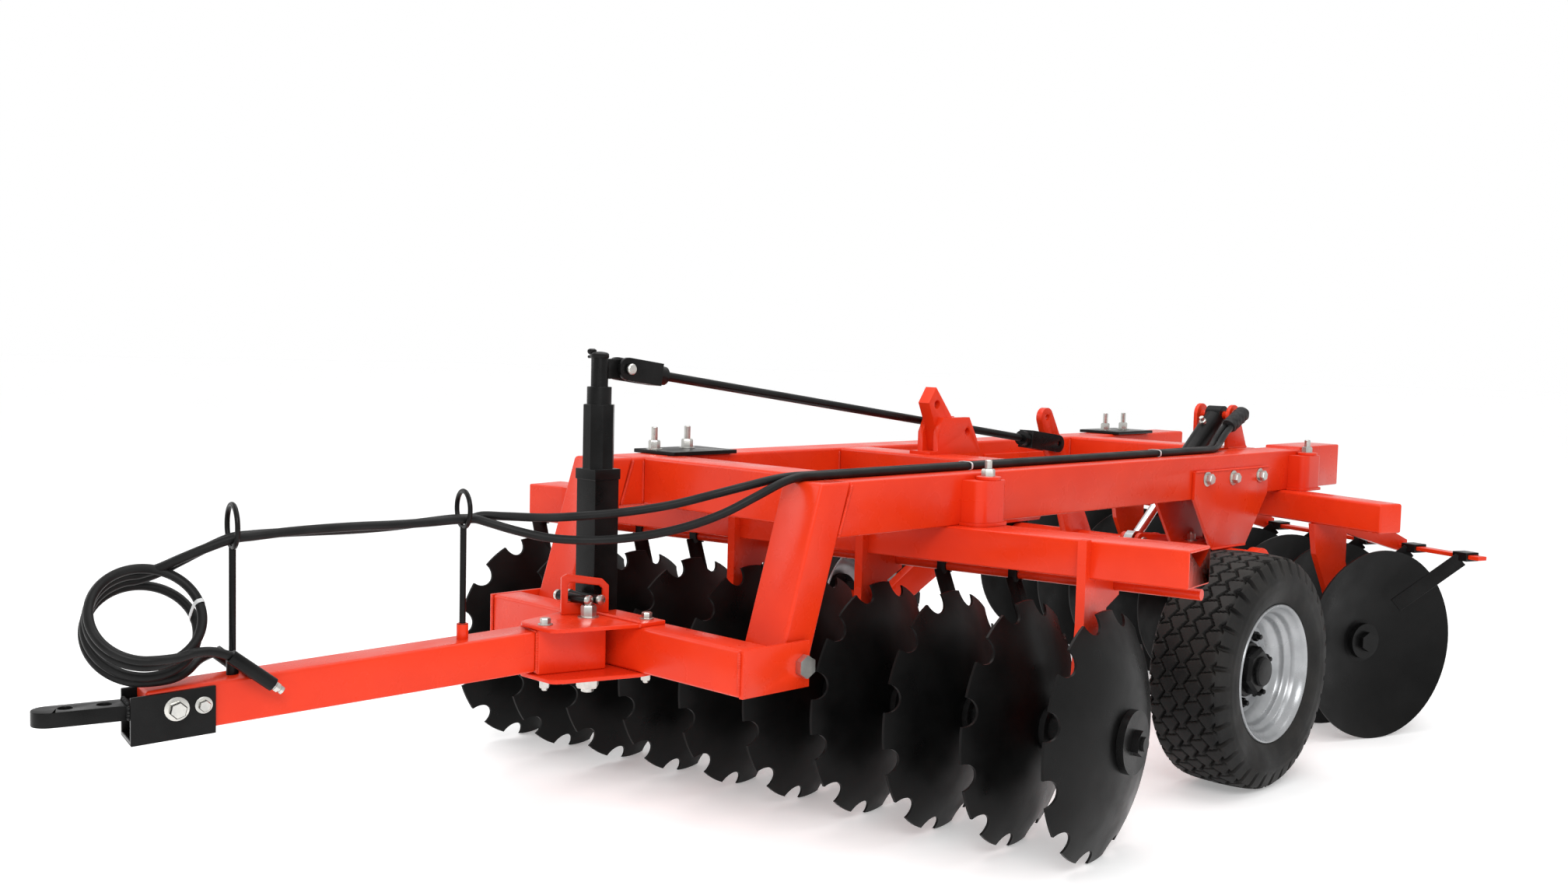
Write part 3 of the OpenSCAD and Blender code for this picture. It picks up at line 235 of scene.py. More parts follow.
def make_drift():
    """A slow drift between two tones, at the size of a hand."""
    group, into, out = new_group(
        "drift",
        [
            ("Tone A", "NodeSocketColor", (1, 1, 1, 1)),
            ("Tone B", "NodeSocketColor", (0, 0, 0, 1)),
            ("Scale", "NodeSocketFloat", 6.0),
        ],
        [("Color", "NodeSocketColor")],
    )
    link = group.links.new
    place = node(group, "ShaderNodeTexCoord")
    noise = node(group, "ShaderNodeTexNoise")
    noise.inputs["Detail"].default_value = 6
    noise.inputs["Roughness"].default_value = 0.6
    ramp = node(group, "ShaderNodeMapRange")
    ramp.inputs["From Min"].default_value = 0.35
    ramp.inputs["From Max"].default_value = 0.65
    mix = node(group, "ShaderNodeMix", data_type="RGBA")
    link(place.outputs["Object"], noise.inputs["Vector"])
    link(into.outputs["Scale"], noise.inputs["Scale"])
    link(noise.outputs["Fac"], ramp.inputs["Value"])
    link(ramp.outputs["Result"], mix.inputs["Factor"])
    link(into.outputs["Tone A"], mix.inputs["A"])
    link(into.outputs["Tone B"], mix.inputs["B"])
    link(mix.outputs["Result"], out.inputs["Color"])
    return group


def make_dust():
    """Pale dust, thickest where a surface faces up and in patches of noise."""
    group, into, out = new_group(
        "dust",
        [
            ("Color", "NodeSocketColor", (0.5, 0.5, 0.5, 1)),
            ("Dust", "NodeSocketColor", (0.45, 0.40, 0.34, 1)),
            ("Amount", "NodeSocketFloat", 0.1),
        ],
        [("Color", "NodeSocketColor")],
    )
    link = group.links.new
    geometry = node(group, "ShaderNodeNewGeometry")
    split = node(group, "ShaderNodeSeparateXYZ")
    facing = node(group, "ShaderNodeMapRange")
    facing.inputs["From Min"].default_value = 0.1
    facing.inputs["From Max"].default_value = 1.0
    place = node(group, "ShaderNodeTexCoord")
    patches = node(group, "ShaderNodeTexNoise")
    patches.inputs["Scale"].default_value = 14
    patches.inputs["Detail"].default_value = 6
    times = node(group, "ShaderNodeMath", operation="MULTIPLY")
    share = node(group, "ShaderNodeMath", operation="MULTIPLY")
    mix = node(group, "ShaderNodeMix", data_type="RGBA")
    link(geometry.outputs["Normal"], split.inputs["Vector"])
    link(split.outputs["Z"], facing.inputs["Value"])
    link(place.outputs["Object"], patches.inputs["Vector"])
    link(facing.outputs["Result"], times.inputs[0])
    link(patches.outputs["Fac"], times.inputs[1])
    link(times.outputs["Value"], share.inputs[0])
    link(into.outputs["Amount"], share.inputs[1])
    link(share.outputs["Value"], mix.inputs["Factor"])
    link(into.outputs["Color"], mix.inputs["A"])
    link(into.outputs["Dust"], mix.inputs["B"])
    link(mix.outputs["Result"], out.inputs["Color"])
    return group


GRAIN = make_grain()
DRIFT = make_drift()
DUST = make_dust()

# %% [markdown]
# ## Materials
# Each finish is one call: two tones that drift, a grain with its roughness, and some dust.

# %% Materials


def rgba(colour):
    return (*colour, 1.0)


def finish(name, tone_a, tone_b, drift=6, grain=200, height=0.1, smooth=0.3, rough=0.5,
           metallic=0.0, coat=0.0, dust=0.0, shine=0.5):
    material = bpy.data.materials.new(name)
    material.use_nodes = True
    tree = material.node_tree
    shader = tree.nodes["Principled BSDF"]
    tones = node(tree, "ShaderNodeGroup", node_tree=DRIFT)
    dusty = node(tree, "ShaderNodeGroup", node_tree=DUST)
    grains = node(tree, "ShaderNodeGroup", node_tree=GRAIN)
    tones.inputs["Tone A"].default_value = rgba(tone_a)
    tones.inputs["Tone B"].default_value = rgba(tone_b)
    tones.inputs["Scale"].default_value = drift
    dusty.inputs["Amount"].default_value = dust
    grains.inputs["Scale"].default_value = grain
    grains.inputs["Height"].default_value = height
    grains.inputs["Smooth"].default_value = smooth
    grains.inputs["Rough"].default_value = rough
    shader.inputs["Metallic"].default_value = metallic
    shader.inputs["Specular IOR Level"].default_value = shine
    shader.inputs["Coat Weight"].default_value = coat
    shader.inputs["Coat Roughness"].default_value = 0.15
    link = tree.links.new
    link(tones.outputs["Color"], dusty.inputs["Color"])
    link(dusty.outputs["Color"], shader.inputs["Base Color"])
    link(grains.outputs["Normal"], shader.inputs["Normal"])
    link(grains.outputs["Roughness"], shader.inputs["Roughness"])
    return material


MATERIALS = {
    "red_paint": finish("red_paint", (0.72, 0.036, 0.006), (0.65, 0.028, 0.005), drift=3,
                        grain=140, height=0.05, smooth=0.20, rough=0.38, coat=0.06,
                        dust=0.02, shine=0.24),
    "black_paint": finish("black_paint", (0.003, 0.003, 0.003), (0.008, 0.008, 0.008), drift=8,
                          grain=240, height=0.12, smooth=0.20, rough=0.42, shine=0.13),
    "disc_steel": finish("disc_steel", (0.002, 0.002, 0.002), (0.005, 0.005, 0.005), drift=5,
                         grain=320, height=0.10, smooth=0.26, rough=0.46, shine=0.12,
                         dust=0.01),
    "zinc": finish("zinc", (0.62, 0.61, 0.57), (0.46, 0.46, 0.44), drift=30, grain=500,
                   height=0.10, smooth=0.20, rough=0.42, metallic=1.0),
    "chrome_rod": finish("chrome_rod", (0.70, 0.71, 0.72), (0.60, 0.61, 0.62), drift=10,
                         grain=600, height=0.02, smooth=0.06, rough=0.16, metallic=1.0),
    "silver_rim": finish("silver_rim", (0.40, 0.41, 0.42), (0.31, 0.32, 0.33), drift=9,
                         grain=260, height=0.08, smooth=0.22, rough=0.40, metallic=0.6,
                         dust=0.05),
    "tyre_rubber": finish("tyre_rubber", (0.007, 0.007, 0.007), (0.015, 0.014, 0.013), drift=10,
                          grain=300, height=0.30, smooth=0.50, rough=0.75, dust=0.04,
                          shine=0.20),
    "hose_rubber": finish("hose_rubber", (0.003, 0.003, 0.003), (0.008, 0.008, 0.008), drift=14,
                          grain=700, height=0.20, smooth=0.34, rough=0.55, shine=0.20),
    "weld": finish("weld", (0.72, 0.042, 0.010), (0.62, 0.032, 0.008), drift=40, grain=90,
                   height=0.30, smooth=0.30, rough=0.50, shine=0.4),
    "black_weld": finish("black_weld", (0.008, 0.008, 0.008), (0.014, 0.014, 0.014), drift=40,
                         grain=90, height=0.30, smooth=0.30, rough=0.50, shine=0.3),
    "clear_tie": finish("clear_tie", (0.62, 0.63, 0.63), (0.50, 0.51, 0.51), drift=20,
                        grain=200, height=0.1, smooth=0.2, rough=0.35),
    "wrap": finish("wrap", (0.008, 0.008, 0.008), (0.020, 0.020, 0.021), drift=25, grain=130,
                   height=0.6, smooth=0.45, rough=0.7, shine=0.3),
}

# %% [markdown]
# ## Surfaces as functions
# A surface is a grid of points, made by numpy from a function of two parameters. `Shape` gathers
# such grids into one mesh, and `piece` gives the mesh its material and the body it rides on.

# %% Mesh tools


def basis(axis):
    """Three unit vectors, the last along axis."""
    w = np.array(axis, float) / np.linalg.norm(axis)
    u = np.cross(Z if abs(w @ Z) < 0.95 else X, w)
    u = u / np.linalg.norm(u)
    return np.stack([u, np.cross(w, u), w])


class Shape:
    """Grids of points and outlines, gathered as one mesh."""

    def __init__(self):
        self.points = []
        self.faces = []
        self.count = 0

    def put(self, points, faces):
        self.faces += [[i + self.count for i in face] for face in faces]
        self.points.append(np.asarray(points, float).reshape(-1, 3))
        self.count += len(self.points[-1])

    def grid(self, p, close_u=False, close_v=True, caps=False):
        """The surface p[i, j], with quads between neighbours and flat caps on its first and last row."""
        n, m = p.shape[:2]
        i, j = np.meshgrid(np.arange(n if close_u else n - 1),
                           np.arange(m if close_v else m - 1), indexing="ij")
        i, j = i.ravel(), j.ravel()
        k, l = (i + 1) % n, (j + 1) % m
        quads = np.stack([i * m + j, i * m + l, k * m + l, k * m + j], 1).tolist()
        if caps:
            quads += [list(range(m))[::-1], list(range((n - 1) * m, n * m))]
        self.put(p, quads)

    def lathe(self, profile, place, axis, sides=32, turn=0.0):
        """p(i, a) = place + h_i axis + r_i (cos a, sin a), for each (r_i, h_i) of the profile in mm."""
        r, h = np.array(profile, float).T / 1000
        a = turn + np.arange(sides) * 2 * math.pi / sides
        u, v, w = basis(axis)
        p = (np.asarray(place) + h[:, None, None] * w
             + r[:, None, None] * (np.cos(a)[:, None] * u + np.sin(a)[:, None] * v))
        self.grid(p, caps=True)

    def bolt(self, place, axis, across, high=None):
        """A hexagon head with chamfered corners, on its washer."""
        high = high or across * 0.62
        r = across / 2 / math.cos(math.pi / 6)
        rim = across * 0.80
        base = 3
        self.lathe([(rim, 0), (rim, base - 0.6), (rim * 0.94, base)], place, axis, 24)
        self.lathe([(r, base), (r, base + high * 0.84), (r * 0.88, base + high)], place, axis,
                   6, 0.3)

    def stud(self, place, axis, across, reach):
        """A nut with the thread's end standing out of it."""
        self.bolt(place, axis, across, across * 0.8)
        self.lathe([(across * 0.31, across * 0.8), (across * 0.31, across * 0.8 + reach),
                    (across * 0.24, across * 0.8 + reach + 2)], place, axis, 16)

    def tube(self, path, r, sides):
        """A round tube: each ring is square to the path, and turns no more than the path does."""
        path = np.asarray(path, float)
        heading = np.gradient(path, axis=0)
        heading /= np.linalg.norm(heading, axis=1)[:, None]
        u = [basis(heading[0])[0]]
        for w in heading[1:]:
            across = u[-1] - (u[-1] @ w) * w
            u.append(across / np.linalg.norm(across))
        u = np.array(u)
        v = np.cross(heading, u)
        a = np.arange(sides) * 2 * math.pi / sides
        r = np.broadcast_to(np.asarray(r, float), len(path))[:, None, None]
        p = path[:, None] + r * (np.cos(a)[:, None] * u[:, None] + np.sin(a)[:, None] * v[:, None])
        self.grid(p, caps=True)

    def weld(self, a, b, r):
        """A bead from a to b, rippled every 3 mm: r(t) = r (1 + 0.16 cos(2 pi t / 3 mm))."""
        a, b = np.asarray(a, float), np.asarray(b, float)
        length = np.linalg.norm(b - a)
        t = np.linspace(0, 1, max(8, int(length / 0.0012)))
        ends = np.clip(np.minimum(t, 1 - t) * length / 0.004, 0.25, 1) ** 0.5
        radius = r / 1000 * ends * (1 + 0.16 * np.cos(2 * math.pi * t * length / 0.003))
        self.tube(a + t[:, None] * (b - a), radius, 8)

    def plate(self, outline, place, u, v, thick):
        """A flat plate: an outline in mm along u and v, with its thickness along u x v."""
        outline = np.array(outline, float) / 1000
        flat = np.asarray(place) + outline[:, :1] * u + outline[:, 1:] * v
        normal = np.cross(u, v) * thick / 1000
        self.grid(np.stack([flat, flat + normal]), caps=True)


def piece(name, shape, body, material, bevel=0.0):
    mesh = bpy.data.meshes.new(name)
    mesh.from_pydata(np.concatenate(shape.points).tolist(), [], shape.faces)
    return dress(name, mesh, body, material, bevel)


def dress(name, mesh, body, material, bevel=0.0):
    made = bpy.data.objects.new(name, mesh)
    bpy.context.scene.collection.objects.link(made)
    clean = bmesh.new()
    clean.from_mesh(mesh)
    bmesh.ops.recalc_face_normals(clean, faces=clean.faces)
    clean.to_mesh(mesh)
    clean.free()
    mesh.polygons.foreach_set("use_smooth", [True] * len(mesh.polygons))
    mesh.materials.append(MATERIALS[material])
    if bevel:
        edge = made.modifiers.new("edges", "BEVEL")
        edge.width = bevel / 1000
        edge.segments = 3
        edge.limit_method = "ANGLE"
        edge.angle_limit = math.radians(28)
        edge.harden_normals = True
    else:
        mesh.set_sharp_from_angle(angle=math.radians(35))
    if body:
        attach(made, body)
    return made


BODY_OF = {n: b for b, ns in frame["record"]["behaviour"]["bodies"].items() for n in ns}
SLOT_OF = {s["node"]: s["material_slot"] for s in frame["record"]["subparts"]}

# %% [markdown]
# ## The frame's own pieces
# A node whose shape is right keeps its place. `rounded` redraws it with the rounded edges of
# rolled tube or flame-cut plate, and `painted` only gives it a finish.

# %% Frame pieces


def painted(name):
    for slot in frame["nodes"][name].material_slots:
        slot.link = "OBJECT"
        slot.material = MATERIALS[SLOT_OF[name]]


def rounded(name, edge):
    source = bmesh.new()
    source.from_mesh(frame["nodes"][name].data)
    bmesh.ops.remove_doubles(source, verts=source.verts, dist=1e-5)
    bmesh.ops.dissolve_limit(source, angle_limit=math.radians(0.4), verts=source.verts,
                             edges=source.edges)
    mesh = bpy.data.meshes.new(name + "_look")
    source.to_mesh(mesh)
    source.free()
    made = dress(name + "_look", mesh, BODY_OF[name], SLOT_OF[name], edge)
    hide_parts(name)


TUBE_EDGE = 9
THIN_TUBE_EDGE = 5
PLATE_EDGE = 2
for name in ("main_beam_left", "main_beam_right", "front_leg_left", "front_leg_right",
             "cross_member_front", "cross_member_middle", "cross_member_rear",
             "rear_gang_beam", "yoke_beam", "tongue"):
    rounded(name, TUBE_EDGE)
for name in ("front_gang_beam", "tongue_sleeve"):
    rounded(name, THIN_TUBE_EDGE)
for name in ("top_bracket", "top_link", "cylinder_arch", "axle_brackets", "rockshaft_bearings",
             "gang_clamps", "yoke_sides", "fan_plates", "hitch_channel", "hitch_bar",
             "tool_bracket", "level_post", "level_rod", "wheel_arms", "level_lever",
             "cylinder_lever", "front_scrapers", "rear_scrapers", "rear_scraper_bar"):
    rounded(name, PLATE_EDGE)
for name in ("front_hangers", "rear_hangers", "front_scraper_bar", "drawbar_pins",
             "hose_stands", "coupler_holder", "rockshaft_tube", "stored_pins",
             "front_gang_shaft", "front_gang_spools", "front_gang_discs", "rear_gang_shaft",
             "rear_gang_spools", "rear_gang_discs", "cylinder_barrel", "cylinder_rod"):
    painted(name)

# %% [markdown]
# ## Gang posts
# The posts that the gang beams turn on: a block with rounded outer corners on a thin foot.

# %% Gang posts
POST_FRONTS = (565, 2470)
POST_LENGTH = 125
POST_DEPTH = 70
POST_ROUND = 30
POST_BOLT = (35, 75)
POST_HEAD_Z = BEAM_TOP - 17
POST_FOOT_Z = BEAM_BOTTOM + 9
POST_FOOT_T = 8.5


def post_outline(grow):
    """The post seen from above: straight on the beam's side, quarter circles at its outer corners."""
    turn = np.linspace(0, math.pi / 2, 12)
    reach = POST_DEPTH - POST_ROUND
    first = np.stack([reach + POST_ROUND * np.sin(turn), POST_ROUND * (1 - np.cos(turn))], 1)
    last = first[::-1] * [1, -1] + [0, POST_LENGTH]
    outline = np.concatenate([[(0, 0)], first, last, [(0, POST_LENGTH)]])
    outward = outline - [0, POST_LENGTH / 2]
    return outline + grow * outward / np.linalg.norm(outward, axis=1)[:, None]


def gang_posts():
    shape = Shape()
    for y in POST_FRONTS:
        foot = at(OUTER_X, y, POST_FOOT_Z)
        shape.plate(post_outline(0), foot, X, Y, POST_HEAD_Z - POST_FOOT_Z)
        shape.plate(post_outline(8), foot - POST_FOOT_T / 1000 * Z, X, Y, POST_FOOT_T)
        shape.lathe([(34, 0), (35, 1), (35, 9), (30, 10)],
                    at(OUTER_X + POST_BOLT[0], y + POST_BOLT[1], POST_HEAD_Z), Z, 48)
    paint = SLOT_OF["gang_posts"]
    made = piece("gang_posts_look", shape, "frame", paint, 3)
    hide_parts("gang_posts")


gang_posts()

# %% [markdown]
# ## Hoses
# Each hose is one smooth tube from the wrapped bundle at the cylinder, along the beam, across to
# the drawbar, through both rings, round the coil and into its sleeve beside the tongue. It
# crosses the hinge between the frame and the drawbar, and rides on neither of them.

# %% Hose routes
LEFT_FRAME = [
    (364, 2305, 1064), (372, 2250, 1040), (388, 2190, 1014), (408, 2130, 998), (424, 2070, 993.3),
    (431, 2000, 993.3), (431, 1600, 993.3), (431, 1200, 993.3), (431, 800, 993.3),
    (431, 400, 993.3), (431, 60, 993.3), (431, -5, 993.3), (424, -58, 981.3), (398, -122, 948),
    (350, -195, 903), (284, -270, 866), (205, -345, 841), (124, -420, 829), (46, -500, 832),
    (-18, -565, 850), (-58, -613, 868),
]
RIGHT_FRAME = [
    (340, 2305, 1064), (346, 2250, 1038), (362, 2190, 1012), (384, 2130, 997), (401, 2070, 993.3),
    (408, 2000, 993.3), (408, 1600, 993.3), (408, 1200, 993.3), (408, 800, 993.3),
    (408, 400, 993.3), (408, 60, 993.3), (408, -5, 993.3), (399, -60, 988.3), (365, -127, 971),
    (313, -195, 948), (250, -270, 922), (180, -345, 903), (107, -420, 890), (33, -500, 882),
    (-45, -568, 882), (-90, -612, 882),
]
LEFT_TONGUE = [
    (12, 320, 877), (12, 347, 877), (12, 374, 877), (13, 440, 874), (14, 530, 872),
    (14, 620, 872), (14, 710, 870), (13, 790, 866), (12, 860, 860), (12, 905, 856),
    (6, 960, 838), (-14, 1015, 813), (-42, 1062, 788),
]
RIGHT_TONGUE = [
    (-12, 320, 877), (-12, 347, 877), (-12, 374, 877), (-12, 440, 872), (-11, 530, 865),
    (-10, 620, 862), (-10, 710, 862), (-11, 790, 862), (-12, 860, 860), (-12, 905, 856),
    (-22, 960, 832), (-44, 1015, 800), (-68, 1062, 772),
]
LEFT_TAIL = [(108, 1046, 610), (104, 1010, 617), (96, 972, 615), (88, 930, 600)]
RIGHT_TAIL = [(27, 1046, 547), (10, 1012, 555), (-30, 972, 574), (-76, 925, 580)]
LEFT_SLEEVE_END = (88, 835, 525)
RIGHT_SLEEVE_END = (-84, 845, 512)


def coil_point(angle, across):
    """c + R (cos a) h + R (sin a) v + s w: h rearwards, v up the tilted ring, w its axis."""
    angle, across = np.atleast_1d(angle)[:, None], np.atleast_1d(across)[:, None]
    round_it = np.sin(angle) * COIL_UP - np.cos(angle) * TONGUE_FRONT
    return on_tongue(0, COIL_AHEAD, COIL_Z) + (COIL_R * round_it + across * COIL_AXIS) / 1000


def coil_turns(first_across, sign):
    """One and a half turns, from the top of the ring to its foot, COIL_STEP apart."""
    angle = np.radians(np.arange(90, 631, 12))
    across = first_across + sign * COIL_STEP * (np.degrees(angle) - 90) / 360
    return coil_point(angle, across)


def through(points, step=0.006):
    """A Catmull-Rom curve through the points, with its rings a step apart."""
    p = np.asarray(points, float)
    p = np.vstack([2 * p[0] - p[1], p, 2 * p[-1] - p[-2]])
    parts = []
    for a, b, c, d in zip(p, p[1:], p[2:], p[3:]):
        ta = np.linalg.norm(b - a) ** 0.5
        tb = np.linalg.norm(c - b) ** 0.5
        tc = np.linalg.norm(d - c) ** 0.5
        n = max(2, int(np.ceil(tb * tb / step)))
        t = (np.arange(n) / n * tb)[:, None]
        m = (c - b) / tb - (c - a) / (ta + tb) + (b - a) / ta
        k = (d - c) / tc - (d - b) / (tb + tc) + (c - b) / tb
        u = t / tb
        parts.append((2 * u**3 - 3 * u**2 + 1) * b + (u**3 - 2 * u**2 + u) * m * tb
                     + (3 * u**2 - 2 * u**3) * c + (u**3 - u**2) * k * tb)
    parts.append(p[-2][None])
    return np.concatenate(parts)


def hose_path(frame_route, tongue_route, turns, tail):
    return through(np.concatenate([
        [at(*p) for p in frame_route],
        [on_tongue(*p) for p in tongue_route],
        turns,
        [on_tongue(*p) for p in tail],
    ]))


# %% [markdown]
# ## Couplers and hoses
# Each hose ends in a sleeve beside the tongue, and its steel coupler stands out of that sleeve.

# %% Couplers and hoses


def coupler(name, start, end):
    """A steel quick coupler that stands out of the sleeve's lower end."""
    shape = Shape()
    start, end = on_tongue(*start), on_tongue(*end)
    axis = end - start
    shape.lathe([(11, -4), (11, 4), (12, 5), (12, 14), (10.5, 15)], end, axis, 6)
    shape.lathe([(8, 14), (8, 18), (9.5, 19), (9.5, 26), (8.2, 27)], end, axis, 24)
    return piece(name, shape, "drawbar", "zinc")


LEFT_COUPLER = coupler("coupler_left", LEFT_TAIL[-1], LEFT_SLEEVE_END)
RIGHT_COUPLER = coupler("coupler_right", RIGHT_TAIL[-1], RIGHT_SLEEVE_END)


def hose(name, path, nodes):
    """One tube along the whole path, across the hinge between the frame and the drawbar, riding on no
    body.
    """
    shape = Shape()
    shape.tube(path, HOSE_R / 1000, 16)
    made = piece(name, shape, None, "hose_rubber")
    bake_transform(made)
    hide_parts(*nodes)


CORD_NODES = ("hoses_frame", "hose_span", "hoses_drawbar", "hose_coil")
left_path = hose_path(LEFT_FRAME, LEFT_TONGUE, coil_turns(13, 1), LEFT_TAIL)
right_path = hose_path(RIGHT_FRAME, RIGHT_TONGUE, coil_turns(-13, -1), RIGHT_TAIL)
hose("hose_left", left_path, CORD_NODES)
hose("hose_right", right_path, CORD_NODES)

# %% [markdown]
# ## Wheels
# The tread is a formula: five ribs between zigzag grooves, cut into blocks by thin slits, and
# notches that run from the shoulders down the side walls.

# %% Tyres
TREAD_HALF = 104.0
TREAD_EDGE_R = 350.0
TREAD_CROWN = 9.0
TREAD_DEPTH = 11.0
TREAD_BLOCKS = 36
TREAD_RIBS = 5
TYRE_RINGS = (222, 246, 290)
TYRE_GRID = (720, 130)
SECTION = [
    (205, 104), (214, 112), (232, 122), (258, 130), (284, 131), (306, 127), (326, 119),
    (342, 112), (350, 104),
]


def tyre_section(v):
    """Radius and offset across the tyre, for v from -1 at one bead to 1 at the other."""
    side = np.abs(v)
    r = np.array([p[0] for p in SECTION], float)
    x = np.array([p[1] for p in SECTION], float)
    wall = np.clip((1 - side) / 0.5, 0, 1)
    knots = np.linspace(0, 1, len(SECTION))
    crown = np.clip(side / 0.5, 0, 1)
    top = TREAD_EDGE_R + TREAD_CROWN * (1 - crown**2) ** 0.5
    radius = np.where(side > 0.5, np.interp(wall, knots, r), top)
    offset = np.where(side > 0.5, np.interp(wall, knots, x), crown * TREAD_HALF)
    return radius, offset * np.sign(v)


def tread(angle, x):
    """How deep the rubber is cut, from 0 on a rib to 1 in a groove.

    The grooves between the ribs are zigzags: each runs at x = (k + z(t)) w, where w is a rib's
    width and z(t) a triangular wave of one block's length. Thin slits cut the ribs into blocks.
    """
    turn = angle / (2 * math.pi) * TREAD_BLOCKS
    wave = 0.26 * (2 * np.abs(2 * (turn % 1) - 1) - 1)
    row = x / (2 * TREAD_HALF / TREAD_RIBS) + TREAD_RIBS / 2
    lane = np.round(row)
    wave = wave * np.where(lane % 2 == 0, 1, -1)
    groove = 1 - np.clip((np.abs(row - lane - wave) - 0.05) / 0.06, 0, 1)
    rib = np.floor(row)
    slit = np.abs((turn + 0.25 + 0.5 * (rib % 2) + 0.16 * (row - rib - 0.5)) % 1 - 0.5)
    thin = 0.6 * (1 - np.clip((slit - 0.022) / 0.03, 0, 1))
    return np.maximum(groove, thin)


def shoulder(angle, r):
    """How deep the side wall is notched between two blocks, fading towards the rim."""
    turn = angle / (2 * math.pi) * TREAD_BLOCKS
    gap = np.clip(1 - np.abs((turn + 0.5) % 1 - 0.5) / 0.15, 0, 1)
    return np.clip(gap * 1.8, 0, 1) * np.clip((r - 300) / 36, 0, 1)


def tyre(name, side):
    n, m = TYRE_GRID
    angle, v = np.meshgrid(np.arange(n) * 2 * math.pi / n, np.linspace(-1, 1, m), indexing="ij")
    r, x = tyre_section(v)
    crown = np.clip((TREAD_HALF + 3 - np.abs(x)) / 5, 0, 1) * (np.abs(v) < 0.55)
    notch = shoulder(angle, r)
    r = r + 2 - TREAD_DEPTH * np.maximum(tread(angle, x) * crown, 0.8 * notch * (1 - crown))
    x = x - np.sign(x) * 12 * notch * (1 - crown)
    rings = sum(1.1 * np.exp(-((r - ring) / 1.6) ** 2) for ring in TYRE_RINGS)
    x = x + np.sign(x) * rings * (1 - crown)
    p = np.stack([side * (WHEEL[0] + x), WHEEL[1] + r * np.cos(angle),
                  WHEEL[2] + r * np.sin(angle)], -1)
    shape = Shape()
    shape.grid((p - HITCH) / 1000, close_u=True, close_v=False)
    body = "left_wheel" if side > 0 else "right_wheel"
    made = piece(name, shape, body, "tyre_rubber")
    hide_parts("tyre_left" if side > 0 else "tyre_right")


# %% [markdown]
# ## Rims and hubs
# The rim is a stepped profile turned round the axle. The hub is black, with six nuts round it.

# %% Rims and hubs
RIM_FACE = [
    (211, 115), (208, 116), (204, 112), (200, 104), (195, 95), (189, 90), (184, 84), (183, 74),
    (179, 67), (171, 62), (168, 55), (167, 44), (162, 37), (152, 32), (146, 22), (138, 12),
    (120, 9), (100, 18), (92, 23), (66, 23),
]
RIM_BACK = [
    (66, 11), (90, 11), (98, 7), (120, -3), (144, 1), (158, 14), (174, 14), (177, -58),
    (190, -84), (197, -104), (205, -115), (211, -115), (213, -112), (211, -107), (203, -105),
    (200, -98), (195, -84), (184, -60), (184, 50), (188, 66), (197, 84), (200, 98),
    (203, 105), (211, 107), (213, 112),
]
RIM_SIDES = 96
WHEEL_NUTS = 6
NUT_CIRCLE = 104.0


def wheel(name, side):
    centre = at(side * WHEEL[0], WHEEL[1], WHEEL[2])
    axis = side * X
    body = "left_wheel" if side > 0 else "right_wheel"
    rim = Shape()
    r, h = np.array(RIM_FACE + RIM_BACK, float).T / 1000
    a = np.arange(RIM_SIDES) * 2 * math.pi / RIM_SIDES
    u, v, w = basis(axis)
    p = (centre + h[:, None, None] * w + r[:, None, None]
         * (np.cos(a)[:, None] * u + np.sin(a)[:, None] * v))
    rim.grid(p, close_u=True)
    made = piece("rim_" + name, rim, body, "silver_rim")
    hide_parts("rim_" + name)
    hub = Shape()
    hub.lathe([(58, -52), (60, -50), (60, -6), (86, -4), (86, 24), (82, 30), (74, 32)], centre,
              axis, 64)
    hub.lathe([(74, 30), (74, 58), (64, 68), (50, 70)], centre, axis, 6, 0.35)
    hub.lathe([(46, 68), (46, 78), (42, 83), (28, 86), (6, 86)], centre, axis, 48)
    made = piece("hub_" + name, hub, body, "black_paint")
    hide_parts("hub_" + name)
    nuts = Shape()
    for k in range(WHEEL_NUTS):
        angle = 2 * math.pi * k / WHEEL_NUTS + 0.2
        place = centre + NUT_CIRCLE / 1000 * (math.cos(angle) * u + math.sin(angle) * v)
        nuts.stud(place + 0.014 * w, axis, 26, 12)
    piece("wheel_nuts_" + name, nuts, body, "black_paint")


tyre("tyre_left", 1)
tyre("tyre_right", -1)
wheel("left", 1)
wheel("right", -1)

# %% [markdown]
# ## Bolts
# Bolts are placed by rows: a place on the steel, the direction its head faces and its size.

# %% Bolts


def bolts(name, body, places):
    shape = Shape()
    for place, axis, across in places:
        shape.bolt(place, axis, across)
    piece(name, shape, body, "zinc")


def studs(name, body, places):
    shape = Shape()
    for place, axis, across, reach in places:
        shape.stud(place, axis, across, reach)
    piece(name, shape, body, "zinc")


BRACKET_BOLTS = [(1877, 907), (2052, 903), (2238, 903)]
POST_BOLTS = [(540, 640), (540, 2545)]
CLAMP_BOLTS = [(-470, 280), (-470, 415), (-450, 2735), (-450, 2870)]
BEARING_BOLTS = [(399, 1997), (399, 2103), (475, 1997), (475, 2103)]
CHANNEL_BOLTS = [(1040, 485, 34), (982, 488, 24)]
CHANNEL_FACE = 61
FAN_BOLTS = [(5, -480), (98, -222), (-118, -222)]
for name, side in (("left", 1), ("right", -1)):
    bolts("bracket_bolts_" + name, "frame", [
        (at(side * BRACKET_FACE, y, z), side * X, 32) for y, z in BRACKET_BOLTS
    ])
studs("post_bolts", "frame", [(at(x, y, POST_HEAD_Z), Z, 34, 26) for x, y in POST_BOLTS])
studs("clamp_bolts", "frame", [(at(x, y, BEAM_TOP + 12), Z, 32, 42) for x, y in CLAMP_BOLTS])
studs("bearing_bolts", "frame", [
    (at(side * x, y, 677), Z, 26, 8) for side in (-1, 1) for x, y in BEARING_BOLTS
])
